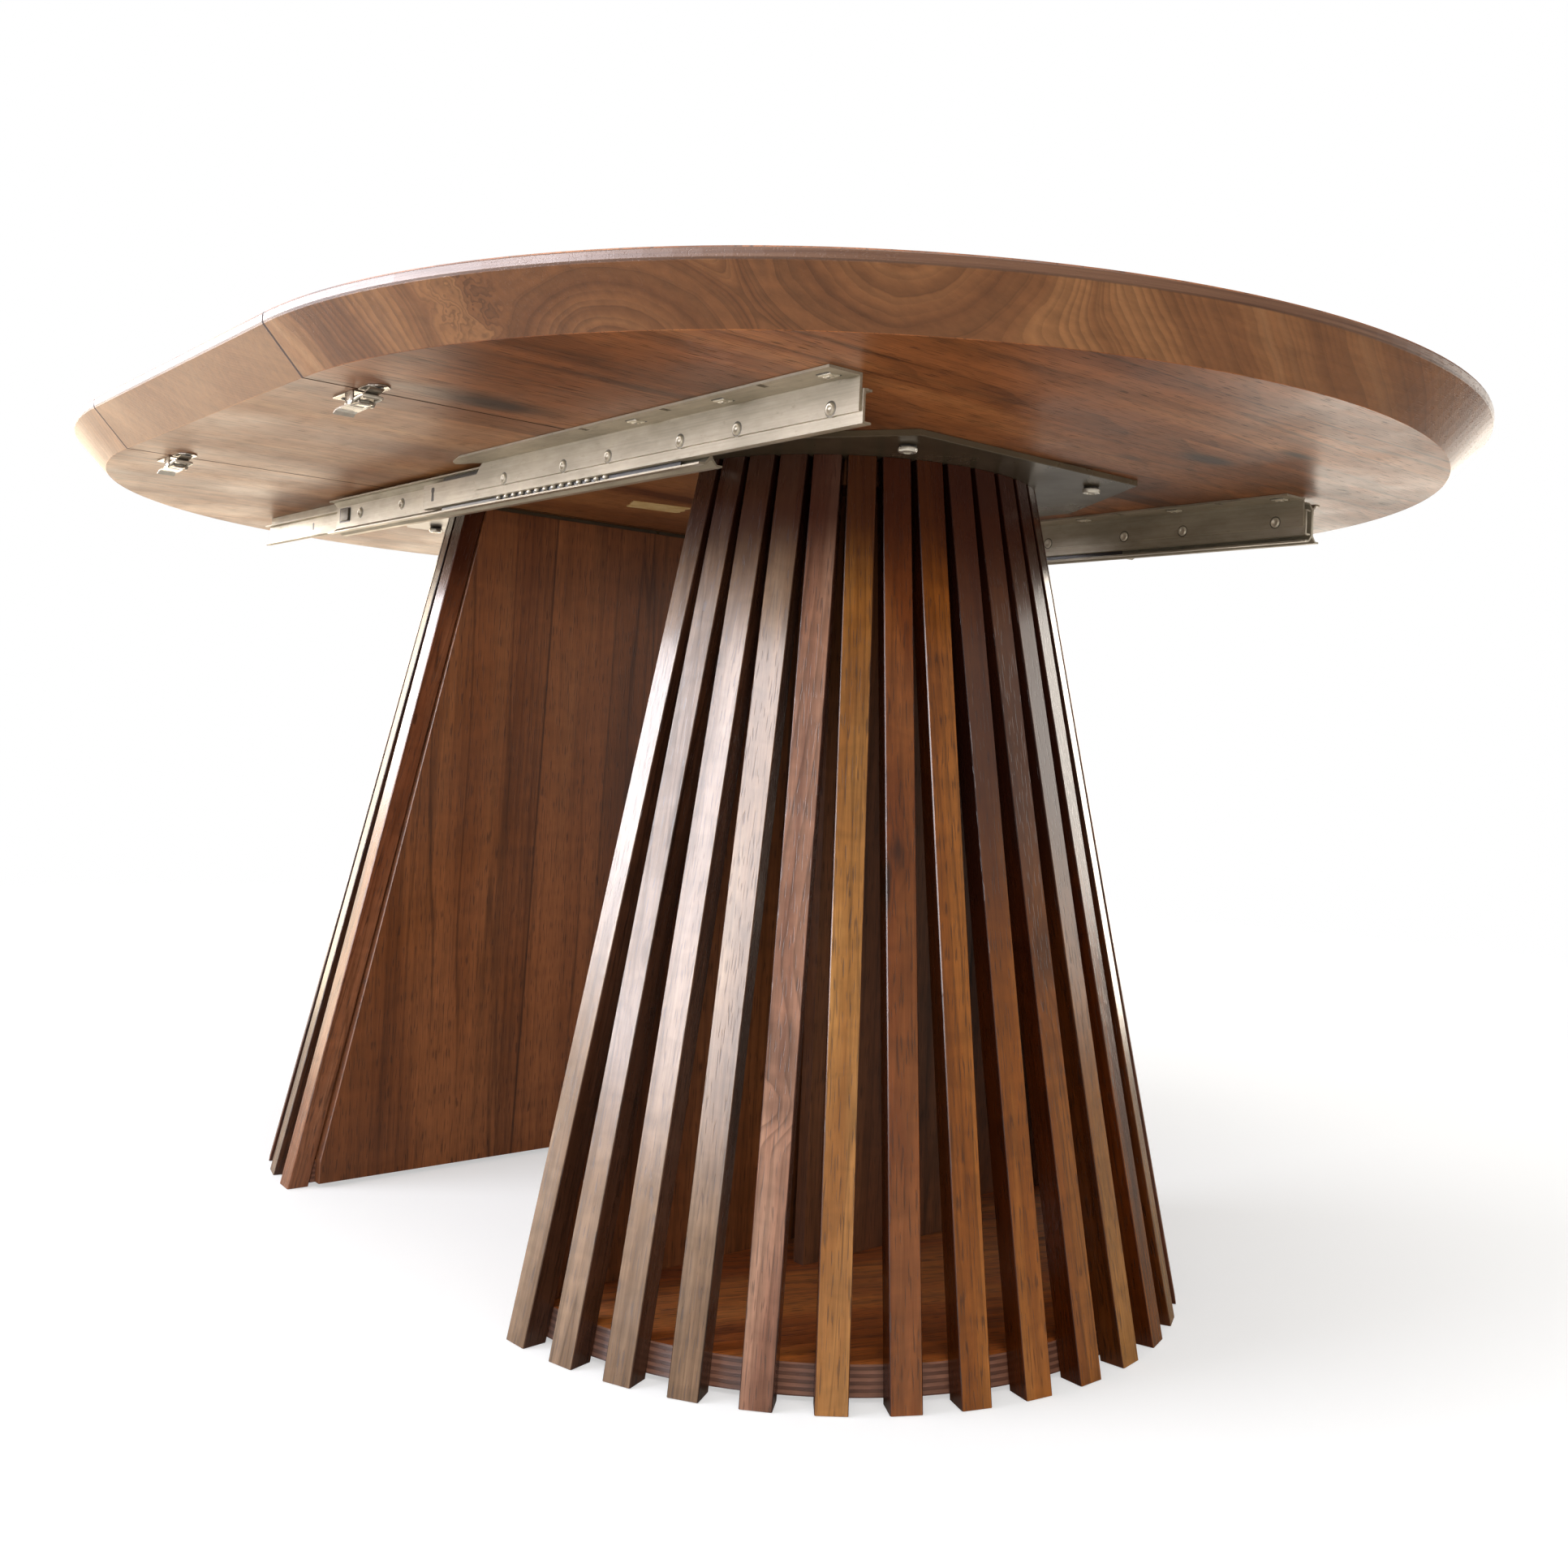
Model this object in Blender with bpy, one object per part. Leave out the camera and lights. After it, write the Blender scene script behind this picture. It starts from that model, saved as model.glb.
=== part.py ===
"""Extendable dining table: a round top parted for one leaf, on a split cone of slats."""

import math

import bmesh
import bpy

# Frame: X is the extension axis (near half at +X), Y runs along the seams, Z is up,
# and the origin is on the floor under the middle of the leaf. Everything is in metres.

# Top
HEIGHT = 0.760
ROUND_RADIUS = 0.555
LEAF_WIDTH = 0.425
TOP_THICKNESS = 0.0415
RIM_BAND = 0.008
BEVEL_RUN = 0.031
RIM_ROUND = 0.002
SEAM_GAP = 0.0004
RIM_SEGMENTS = 96

# Fit between pieces that touch
FIT = 0.0003

# Pedestals: two half cones of slats, each closed by a flat panel on the seam side
CONE_CENTRE = 0.2165
CONE_RADIUS = 0.3235
CONE_TAPER = 0.2119
SLAT_COUNT = 19
SLAT_PITCH = math.radians(9.6)
SLAT_WIDTH = 0.0243
SLAT_DEPTH = 0.021
SLAT_ARRIS = 0.0008
PANEL_FACE = 0.2130
PANEL_THICKNESS = 0.0108
PANEL_EDGE_GAP = 0.001
PANEL_FOOT = 0.296
PANEL_BOTTOM = 0.004
BASE_BOTTOM = 0.0035
BOARD_THICKNESS = 0.022
UPRIGHT_X = (0.270, 0.283)
UPRIGHT_Y = (-0.072, 0.120)

# Steel plates that carry the top
PLATE_THICKNESS = 0.005
PLATE_OUTLINE = ((0.222, -0.219), (0.300, -0.219), (0.447, -0.134))
PLATE_CHAMFER = 0.0006

# Runners: (name, y of the bracket's outer face, shift of the end rails, shift of the middle
# rail, which floats between them). RAIL_DEPTH is from one bracket's face to the other's.
RUNNERS = (("left", -0.281, 0.0, 0.0), ("right", 0.287, -0.024, 0.158))
RAIL_DEPTH = 0.0275
BRACKET_SHEET = 0.002
FLANGE_WIDTH = 0.027
WEB_BOTTOM = 0.6925
CHANNEL_Z = (0.6845, 0.7078)
CHANNEL_LIP = 0.0095
CHANNEL_SHEET = 0.0018
LIP_SHEET = 0.0015
MIDDLE_Z = (0.6785, 0.7145)
MIDDLE_REACH = (0.0028, 0.0247)
MIDDLE_WEB = 0.003
MIDDLE_RACE = 0.0055
MIDDLE_RISE = 0.0045
NEAR_CHANNEL = (-0.100, 0.5425)
NEAR_BRACKET = (-0.004, 0.5405)
MIDDLE_RAIL = (-0.335, 0.360)
FAR_CHANNEL = (-0.080, 0.567)
FAR_BRACKET = (0.037, 0.567)
SLOTS_FROM_END = (0.0755, 0.1920, 0.3060)
SLOT_INSET = 0.022
SLOT_SIZE = (0.008, 0.006)

# Draw latches across the seams
LATCH_Y = 0.476
PIVOT_SETBACK = 0.0075
PIVOT_DROP = 0.0075
PIVOT_RADIUS = 0.0019
LEVER_WIDTH = 0.016
LEVER_SHEET = 0.0012

UNDERSIDE = HEIGHT - TOP_THICKNESS
HALF_LEAF = LEAF_WIDTH / 2
PLATE_TOP = UNDERSIDE - FIT
PLATE_BOTTOM = PLATE_TOP - PLATE_THICKNESS
PEDESTAL_TOP = PLATE_BOTTOM - FIT
PANEL_BACK = PANEL_FACE + PANEL_THICKNESS


def clear_scene():
    for thing in list(bpy.data.objects):
        bpy.data.objects.remove(thing, do_unlink=True)


def material(name, colour, roughness, metallic=0.0):
    mat = bpy.data.materials.new(name)
    mat.use_nodes = True
    shader = mat.node_tree.nodes["Principled BSDF"]
    shader.inputs["Base Color"].default_value = (*colour, 1.0)
    shader.inputs["Roughness"].default_value = roughness
    shader.inputs["Metallic"].default_value = metallic
    return mat


def add_object(name, bm, mat):
    """Close off a bmesh as an object, smooth except across its real edges."""
    bmesh.ops.recalc_face_normals(bm, faces=bm.faces)
    for face in bm.faces:
        face.smooth = True
    for edge in bm.edges:
        edge.smooth = edge.calc_face_angle(math.pi) < math.radians(25)
    mesh = bpy.data.meshes.new(name)
    bm.to_mesh(mesh)
    bm.free()
    mesh.materials.append(mat)
    thing = bpy.data.objects.new(name, mesh)
    bpy.context.scene.collection.objects.link(thing)
    return thing


def loft(name, rings, mat):
    """One closed solid through rings that all have the same number of points."""
    bm = bmesh.new()
    rows = [[bm.verts.new(point) for point in ring] for ring in rings]
    count = len(rings[0])
    for low, high in zip(rows, rows[1:]):
        for i in range(count):
            j = (i + 1) % count
            bm.faces.new((low[i], low[j], high[j], high[i]))
    bm.faces.new(rows[0])
    bm.faces.new(rows[-1])
    return add_object(name, bm, mat)


def prism_x(name, outline, x_low, x_high, mat):
    """An outline of (y, z) points drawn out along X."""
    rings = [[(x, y, z) for y, z in outline] for x in (x_low, x_high)]
    return loft(name, rings, mat)


def prism_y(name, outline, y_low, y_high, mat):
    """An outline of (x, z) points drawn out along Y."""
    rings = [[(x, y, z) for x, z in outline] for y in (y_low, y_high)]
    return loft(name, rings, mat)


def prism_z(name, outline, z_low, z_high, mat):
    """An outline of (x, y) points drawn out along Z."""
    rings = [[(x, y, z) for x, y in outline] for z in (z_low, z_high)]
    return loft(name, rings, mat)


def box(name, xs, ys, zs, mat):
    outline = ((xs[0], ys[0]), (xs[1], ys[0]), (xs[1], ys[1]), (xs[0], ys[1]))
    return prism_z(name, outline, zs[0], zs[1], mat)


def hide_helper(thing):
    thing.hide_render = True
    thing.display_type = "WIRE"


def combine(thing, helper, operation):
    """Join or cut with a helper that is left out of the build."""
    step = thing.modifiers.new(operation.title(), "BOOLEAN")
    step.operation = operation
    step.solver = "EXACT"
    step.object = helper
    hide_helper(helper)


def half_round(side, centre, chord, radius, z, segments=RIM_SEGMENTS):
    """A half disc's outline at height z: an arc about (centre, 0) cut off at x = chord."""
    reach = math.acos((chord - centre) / radius)
    ring = []
    for i in range(segments + 1):
        angle = -reach + 2 * reach * i / segments
        ring.append((side * (centre + radius * math.cos(angle)), radius * math.sin(angle), z))
    return ring


def rim_profile():
    """(distance in from the widest line, height) down the edge of the top."""
    band_foot = HEIGHT - RIM_BAND
    slope = BEVEL_RUN / (band_foot - UNDERSIDE)
    return (
        (RIM_ROUND, HEIGHT),
        (0.3 * RIM_ROUND, HEIGHT - 0.3 * RIM_ROUND),
        (0.0, HEIGHT - RIM_ROUND),
        (0.0, band_foot + 0.5 * RIM_ROUND),
        (0.4 * RIM_ROUND * slope, band_foot - 0.4 * RIM_ROUND),
        (BEVEL_RUN, UNDERSIDE),
    )


def half_top(name, side, mat):
    chord = HALF_LEAF + SEAM_GAP / 2
    rings = []
    for inset, z in rim_profile():
        rings.append(half_round(side, HALF_LEAF, chord, ROUND_RADIUS - inset, z))
    return loft(name, rings, mat)


def leaf_top(mat):
    edge = [(ROUND_RADIUS - inset, z) for inset, z in rim_profile()]
    outline = edge + [(-y, z) for y, z in reversed(edge)]
    reach = HALF_LEAF - SEAM_GAP / 2
    return prism_x("leaf_top", outline, -reach, reach, mat)


def inner_radius(z):
    """The cone on which the slats' inner faces lie."""
    return CONE_RADIUS - SLAT_DEPTH - CONE_TAPER * z


def slat(name, side, index, mat):
    angle = (index - (SLAT_COUNT - 1) / 2) * SLAT_PITCH
    half = SLAT_WIDTH / 2
    outline = (
        (0.0, -half + SLAT_ARRIS),
        (0.0, half - SLAT_ARRIS),
        (-SLAT_ARRIS, half),
        (-SLAT_DEPTH + SLAT_ARRIS, half),
        (-SLAT_DEPTH, half - SLAT_ARRIS),
        (-SLAT_DEPTH, -half + SLAT_ARRIS),
        (-SLAT_DEPTH + SLAT_ARRIS, -half),
        (-SLAT_ARRIS, -half),
    )
    rings = []
    for z in (0.0, PEDESTAL_TOP):
        ring = []
        for inwards, along in outline:
            radius = CONE_RADIUS - CONE_TAPER * z + inwards
            x = CONE_CENTRE + radius * math.cos(angle) - along * math.sin(angle)
            y = radius * math.sin(angle) + along * math.cos(angle)
            ring.append((side * x, y, z))
        rings.append(ring)
    return loft(name, rings, mat)


def back_panel(name, side, mat):
    """The flat panel that closes a half cone, straight at the foot and tapering above."""
    kink = (CONE_RADIUS - SLAT_DEPTH - PANEL_EDGE_GAP - PANEL_FOOT) / CONE_TAPER
    top = inner_radius(PEDESTAL_TOP) - PANEL_EDGE_GAP
    rings = []
    for x, inset in ((PANEL_FACE, SLAT_ARRIS), (PANEL_FACE + SLAT_ARRIS, 0.0), (PANEL_BACK, 0.0)):
        foot = PANEL_FOOT - inset
        right = ((foot, PANEL_BOTTOM), (foot, kink), (top - inset, PEDESTAL_TOP))
        outline = right + tuple((-y, z) for y, z in reversed(right))
        rings.append([(side * x, y, z) for y, z in outline])
    return loft(name, rings, mat)


def conical_board(name, side, bottom, mat):
    """A half disc between the panel and the slats, its rim bevelled to the cone."""
    rings = []
    for z in (bottom, bottom + BOARD_THICKNESS):
        radius = inner_radius(z) - FIT
        rings.append(half_round(side, CONE_CENTRE, PANEL_BACK + FIT, radius, z, 64))
    return loft(name, rings, mat)


def inner_frame(name, side, mat):
    """The board under the plate with the upright that carries it down to the base."""
    bottom = PEDESTAL_TOP - BOARD_THICKNESS
    frame = conical_board(name, side, bottom, mat)
    xs = sorted(side * x for x in UPRIGHT_X)
    ys = sorted(side * y for y in UPRIGHT_Y)
    foot = BASE_BOTTOM + BOARD_THICKNESS + FIT
    upright = box(name + "_upright", xs, ys, (foot, bottom + 0.010), mat)
    combine(frame, upright, "UNION")
    return frame


def mounting_plate(name, side, mat):
    corners = PLATE_OUTLINE + tuple((x, -y) for x, y in reversed(PLATE_OUTLINE))
    middle = sum(x for x, _ in corners) / len(corners)
    rings = []
    for z, inset in ((PLATE_BOTTOM, PLATE_CHAMFER), (PLATE_BOTTOM + PLATE_CHAMFER, 0.0), (PLATE_TOP, 0.0)):
        ring = []
        for x, y in corners:
            shift_x = math.copysign(inset, x - middle)
            shift_y = math.copysign(inset, y)
            ring.append((side * (x - shift_x), y - shift_y, z))
        rings.append(ring)
    return loft(name, rings, mat)


def flange_outline(start, end):
    """The bracket's flange seen from below: a pointed tongue, then a straight strip."""
    return (
        (end, -FLANGE_WIDTH),
        (start + 0.034, -FLANGE_WIDTH),
        (start + 0.006, -0.019),
        (start, -0.0135),
        (start + 0.006, -0.009),
        (start + 0.019, -0.006),
        (start + 0.025, -0.001),
        (start + 0.026, 0.0),
        (start + 0.026, BRACKET_SHEET),
        (end, BRACKET_SHEET),
    )


def place(points, side, y0, shift):
    """Rail coordinates (along, across, z) to the world; the far rails are turned about Z."""
    placed = []
    for along, across, z in points:
        y = y0 + across if side > 0 else y0 + RAIL_DEPTH - across
        placed.append((side * along + shift, y, z))
    return placed


def rail_piece(name, points_low, points_high, side, y0, shift, mat):
    rings = [place(points_low, side, y0, shift), place(points_high, side, y0, shift)]
    return loft(name, rings, mat)


def channel_outline():
    """A C section, open towards the middle rail."""
    low, high = CHANNEL_Z
    back = BRACKET_SHEET
    web = back + CHANNEL_SHEET
    return (
        (back, low),
        (CHANNEL_LIP, low),
        (CHANNEL_LIP, low + LIP_SHEET),
        (web, low + LIP_SHEET),
        (web, high - LIP_SHEET),
        (CHANNEL_LIP, high - LIP_SHEET),
        (CHANNEL_LIP, high),
        (back, high),
    )


def end_rail(name, side, y0, shift, channel, bracket, mat):
    """A channel with its angle bracket riveted to the back: one rigid member."""
    section = channel_outline()
    rings = [[(along, across, z) for across, z in section] for along in channel]
    rail = rail_piece(name, rings[0], rings[1], side, y0, shift, mat)

    start, end = bracket
    flange = flange_outline(start, end)
    levels = (PLATE_TOP - BRACKET_SHEET, PLATE_TOP)
    rings = [[(along, across, z) for along, across in flange] for z in levels]
    strip = rail_piece(name + "_flange", rings[0], rings[1], side, y0, shift, mat)

    web = (
        (start + 0.014, WEB_BOTTOM),
        (end, WEB_BOTTOM),
        (end, PLATE_TOP - 0.0005),
        (start + 0.027, PLATE_TOP - 0.0005),
        (start + 0.014, PLATE_TOP - 0.013),
    )
    faces = (0.0, BRACKET_SHEET + 0.0002)
    rings = [[(along, across, z) for along, z in web] for across in faces]
    wall = rail_piece(name + "_web", rings[0], rings[1], side, y0, shift, mat)

    combine(rail, wall, "UNION")
    combine(rail, strip, "UNION")
    for number, back in enumerate(SLOTS_FROM_END):
        cutter = slot_cutter(f"{name}_slot_{number}", side, y0, shift, end - back, mat)
        combine(rail, cutter, "DIFFERENCE")
    return rail


def slot_cutter(name, side, y0, shift, along, mat):
    """A screw slot through the flange, long across the rail's length."""
    length, width = SLOT_SIZE
    middle = -SLOT_INSET
    outline = (
        (along - width / 2, middle - length / 2),
        (along + width / 2, middle - length / 2),
        (along + width / 2, middle + length / 2),
        (along - width / 2, middle + length / 2),
    )
    levels = (PLATE_TOP - 2 * BRACKET_SHEET, PLATE_TOP + BRACKET_SHEET)
    rings = [[(a, across, z) for a, across in outline] for z in levels]
    return rail_piece(name, rings[0], rings[1], side, y0, shift, mat)


def middle_outline():
    """Two channels back to back: a web whose arms spread out into four flat ball races."""
    low, high = MIDDLE_Z
    near, far = MIDDLE_REACH
    middle = (near + far) / 2
    quarter = (
        (middle, low + MIDDLE_RISE),
        (near + MIDDLE_RACE, low),
        (near, low),
        (near, low + LIP_SHEET),
        (near + MIDDLE_RACE - 0.0004, low + LIP_SHEET),
        (middle - MIDDLE_WEB / 2, low + MIDDLE_RISE + LIP_SHEET + 0.0003),
    )
    left = quarter + tuple((v, low + high - z) for v, z in reversed(quarter))
    right = tuple((near + far - v, z) for v, z in reversed(left[1:-1]))
    return left + right


def middle_rail(name, y0, shift, mat):
    section = [(y0 + across, z) for across, z in middle_outline()]
    return prism_x(name, section, MIDDLE_RAIL[0] + shift, MIDDLE_RAIL[1] + shift, mat)


def lever_outline(pivot_x, pivot_z):
    """The latch lever's side view: a barrel round the pivot, a plate and a curled end."""
    drop = 0.0008
    under = [(-0.0018, -0.0016), (-0.006, -0.0026), (-0.014, -0.0030), (-0.024, -0.0026)]
    under += [(-0.029, -0.0032), (-0.033, -0.0052)]
    over = [(x, z + LEVER_SHEET) for x, z in reversed(under[1:])]
    barrel = []
    for i in range(15):
        angle = math.radians(158 - 272 * i / 14)
        barrel.append((PIVOT_RADIUS * math.cos(angle), PIVOT_RADIUS * math.sin(angle)))
    outline = under[1:] + over + barrel
    return [(pivot_x + x, pivot_z + z - (drop if x < -0.02 else 0.0)) for x, z in outline]


def lever(name, seam_x, y, mat):
    """A lever whose origin is on its hinge axis, which runs along Y."""
    pivot = (seam_x - PIVOT_SETBACK, y, UNDERSIDE - PIVOT_DROP)
    half = LEVER_WIDTH / 2
    thing = prism_y(name, lever_outline(0.0, 0.0), -half, half, mat)
    thing.location = pivot
    return thing


def build_tops():
    walnut = material("walnut_top", (0.235, 0.120, 0.062), 0.42)
    half_top("near_half_top", 1, walnut)
    half_top("far_half_top", -1, walnut)
    leaf_top(material("walnut_leaf", (0.260, 0.150, 0.085), 0.42))


def build_pedestals():
    panel = material("walnut_panel", (0.120, 0.055, 0.028), 0.45)
    light = material("walnut_slat_light", (0.300, 0.175, 0.110), 0.40)
    dark = material("walnut_slat_dark", (0.190, 0.085, 0.042), 0.40)
    plywood = material("plywood", (0.330, 0.160, 0.075), 0.60)
    for word, side in (("near", 1), ("far", -1)):
        back_panel(f"{word}_back_panel", side, panel)
        conical_board(f"{word}_base_board", side, BASE_BOTTOM, plywood)
        inner_frame(f"{word}_inner_frame", side, plywood)
        for i in range(SLAT_COUNT):
            slat(f"{word}_slat_{i + 1:02d}", side, i, dark if i % 3 else light)


def build_metalwork():
    black = material("dark_steel", (0.060, 0.055, 0.050), 0.55, 0.6)
    zinc = material("zinc_steel", (0.520, 0.500, 0.460), 0.38, 1.0)
    nickel = material("nickel", (0.700, 0.680, 0.640), 0.22, 1.0)
    mounting_plate("near_mounting_plate", 1, black)
    mounting_plate("far_mounting_plate", -1, black)
    for word, y0, shift, middle_shift in RUNNERS:
        end_rail(f"near_rail_{word}", 1, y0, shift, NEAR_CHANNEL, NEAR_BRACKET, zinc)
        end_rail(f"far_rail_{word}", -1, y0, shift, FAR_CHANNEL, FAR_BRACKET, zinc)
        middle_rail(f"middle_rail_{word}", y0, middle_shift, zinc)
    for word, seam_x in (("near", HALF_LEAF), ("far", -HALF_LEAF)):
        lever(f"{word}_latch_lever_left", seam_x, -LATCH_Y, nickel)
        lever(f"{word}_latch_lever_right", seam_x, LATCH_Y, nickel)


clear_scene()
build_tops()
build_pedestals()
build_metalwork()
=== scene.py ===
import math
import random
from functools import partial

import bmesh
import bpy
from mathutils import Matrix, Vector


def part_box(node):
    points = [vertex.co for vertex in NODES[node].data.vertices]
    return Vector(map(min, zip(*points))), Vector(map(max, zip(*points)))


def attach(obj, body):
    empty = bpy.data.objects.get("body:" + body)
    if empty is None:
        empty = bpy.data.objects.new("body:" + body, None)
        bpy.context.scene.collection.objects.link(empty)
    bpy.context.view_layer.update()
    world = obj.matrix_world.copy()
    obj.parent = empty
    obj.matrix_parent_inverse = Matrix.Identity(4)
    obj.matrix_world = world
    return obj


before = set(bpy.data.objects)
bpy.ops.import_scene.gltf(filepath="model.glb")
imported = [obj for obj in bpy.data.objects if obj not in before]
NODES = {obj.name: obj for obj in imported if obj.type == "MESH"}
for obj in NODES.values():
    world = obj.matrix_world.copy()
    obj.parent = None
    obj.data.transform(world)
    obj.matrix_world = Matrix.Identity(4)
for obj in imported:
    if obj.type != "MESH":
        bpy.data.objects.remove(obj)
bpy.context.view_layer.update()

# The CAD's own levels and lines, in metres
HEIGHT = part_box("leaf_top")[1].z
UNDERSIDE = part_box("leaf_top")[0].z
HALF_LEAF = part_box("leaf_top")[1].x     # the seams are at this x and its negative
RIM_RADIUS = 0.555
RIM_FOOT = HEIGHT - 0.008
RIM_UNDERCUT = 0.031    # how far in the bevel's foot is from the rim
PLATE_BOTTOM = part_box("near_mounting_plate")[0].z
LATCH_Y = 0.476
SLAT_COUNT = 19
SLAT_PITCH = math.radians(9.6)
SLAT_HALF_WIDTH = 0.01215
CONE_CENTRE = 0.2165
CONE_RADIUS = 0.3235
CONE_TAPER = 0.2119     # how much the radius shrinks with height
HALVES = (("near", 1), ("far", -1))     # name, and the side along X

X, Y, Z = Vector((1, 0, 0)), Vector((0, 1, 0)), Vector((0, 0, 1))
DOWN = -Z


# ---------- shader helpers

def srgb(r, g, b):
    """A display colour, 0 to 255, as linear light."""
    linear = []
    for value in (r, g, b):
        c = value / 255
        linear.append(c / 12.92 if c <= 0.04045 else ((c + 0.055) / 1.055) ** 2.4)
    return (*linear, 1.0)


class Tree:
    """A material's node tree being built. Sockets and plain values are both accepted."""

    def __init__(self, name):
        self.mat = bpy.data.materials.new(name)
        self.mat.use_nodes = True
        self.nodes = self.mat.node_tree.nodes
        self.links = self.mat.node_tree.links
        self.shader = self.nodes["Principled BSDF"]
        self.place = self.nodes.new("ShaderNodeTexCoord").outputs["Object"]

    def feed(self, socket, value):
        if isinstance(value, bpy.types.NodeSocket):
            self.links.new(value, socket)
        else:
            socket.default_value = value

    def node(self, kind, *values, **settings):
        made = self.nodes.new(kind)
        for key, value in settings.items():
            setattr(made, key, value)
        for socket, value in zip(made.inputs, values):
            self.feed(socket, value)
        return made

    def maths(self, operation, *values):
        return self.node("ShaderNodeMath", *values, operation=operation).outputs[0]

    def plus(self, a, b):
        return self.maths("ADD", a, b)

    def minus(self, a, b):
        return self.maths("SUBTRACT", a, b)

    def times(self, a, b):
        return self.maths("MULTIPLY", a, b)

    def size(self, value):
        return self.maths("ABSOLUTE", value)

    def larger(self, a, b):
        """The larger of two numbers. The first may be None, for none yet."""
        return b if a is None else self.maths("MAXIMUM", a, b)

    def swing(self, value, amount):
        """A 0 to 1 noise value as a swing about zero."""
        return self.times(self.minus(value, 0.5), amount)

    def vector(self, operation, *values):
        made = self.node("ShaderNodeVectorMath", *values, operation=operation)
        return made.outputs[1 if operation == "LENGTH" else 0]

    def length(self, vector):
        return self.vector("LENGTH", vector)

    def split(self, vector):
        return self.node("ShaderNodeSeparateXYZ", vector).outputs

    def join(self, x, y, z):
        return self.node("ShaderNodeCombineXYZ", x, y, z).outputs[0]

    def scaled(self, vector, *scale):
        return self.vector("MULTIPLY", vector, scale)

    def facing(self, axis):
        """How far the surface faces along X, Y or Z, given as 0, 1 or 2."""
        return self.split(self.nodes.new("ShaderNodeNewGeometry").outputs["Normal"])[axis]

    def noise(self, vector, scale=1.0, detail=2.0, roughness=0.5, distortion=0.0):
        made = self.nodes.new("ShaderNodeTexNoise")
        self.feed(made.inputs["Vector"], vector)
        made.inputs["Scale"].default_value = scale
        made.inputs["Detail"].default_value = detail
        made.inputs["Roughness"].default_value = roughness
        made.inputs["Distortion"].default_value = distortion
        return made.outputs[0]

    def grain(self, vector, stretch, *figure):
        """Noise of size 1 in a space that is scaled differently along each axis."""
        return self.noise(self.scaled(vector, *stretch), 1.0, *figure)

    def ramp(self, factor, *stops, smooth=False):
        """stops are (position, grey value or colour)."""
        made = self.nodes.new("ShaderNodeValToRGB")
        self.feed(made.inputs[0], factor)
        band = made.color_ramp
        band.interpolation = "EASE" if smooth else "LINEAR"
        while len(band.elements) < len(stops):
            band.elements.new(1.0)
        for element, (position, value) in zip(band.elements, stops):
            element.position = position
            element.color = value if isinstance(value, tuple) else (value, value, value, 1.0)
        return made.outputs[0]

    def between(self, value, low, high):
        """0 below low, 1 above high, smooth between."""
        made = self.node("ShaderNodeMapRange", value, low, high, 0.0, 1.0)
        made.interpolation_type = "SMOOTHSTEP"
        return made.outputs[0]

    def mix(self, factor, a, b, blend="MIX"):
        made = self.nodes.new("ShaderNodeMix")
        made.data_type = "RGBA"
        made.blend_type = blend
        self.feed(made.inputs[0], factor)
        self.feed(made.inputs[6], a)
        self.feed(made.inputs[7], b)
        return made.outputs[2]

    def tint(self, colour, layer):
        return self.mix(1.0, colour, layer, "MULTIPLY")

    def finish(self, colour, roughness, height=None, depth=0.0002, strength=0.5, **fixed):
        self.feed(self.shader.inputs["Base Color"], colour)
        self.feed(self.shader.inputs["Roughness"], roughness)
        for key, value in fixed.items():
            self.shader.inputs[key.replace("_", " ")].default_value = value
        if height is not None:
            bump = self.nodes.new("ShaderNodeBump")
            bump.inputs["Strength"].default_value = strength
            bump.inputs["Distance"].default_value = depth
            self.links.new(height, bump.inputs["Height"])
            self.links.new(bump.outputs[0], self.shader.inputs["Normal"])
        return self.mat


def board_place(tree, along, across, origin=(0, 0, 0)):
    """Coordinates in a board's own frame: x with the grain, y across its face, z through it."""
    along = Vector(along).normalized()
    across = (Vector(across) - along * along.dot(Vector(across))).normalized()
    turn = Matrix((along, across, along.cross(across)))
    made = tree.nodes.new("ShaderNodeMapping")
    tree.links.new(tree.place, made.inputs["Vector"])
    made.inputs["Location"].default_value = -(turn @ Vector(origin))
    made.inputs["Rotation"].default_value = turn.to_euler()
    return made.outputs[0]


def spread(tones, start, span):
    """Ramp stops for a few colours, evenly from a start over a span."""
    return [(start + span * i / (len(tones) - 1), tone) for i, tone in enumerate(tones)]


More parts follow.
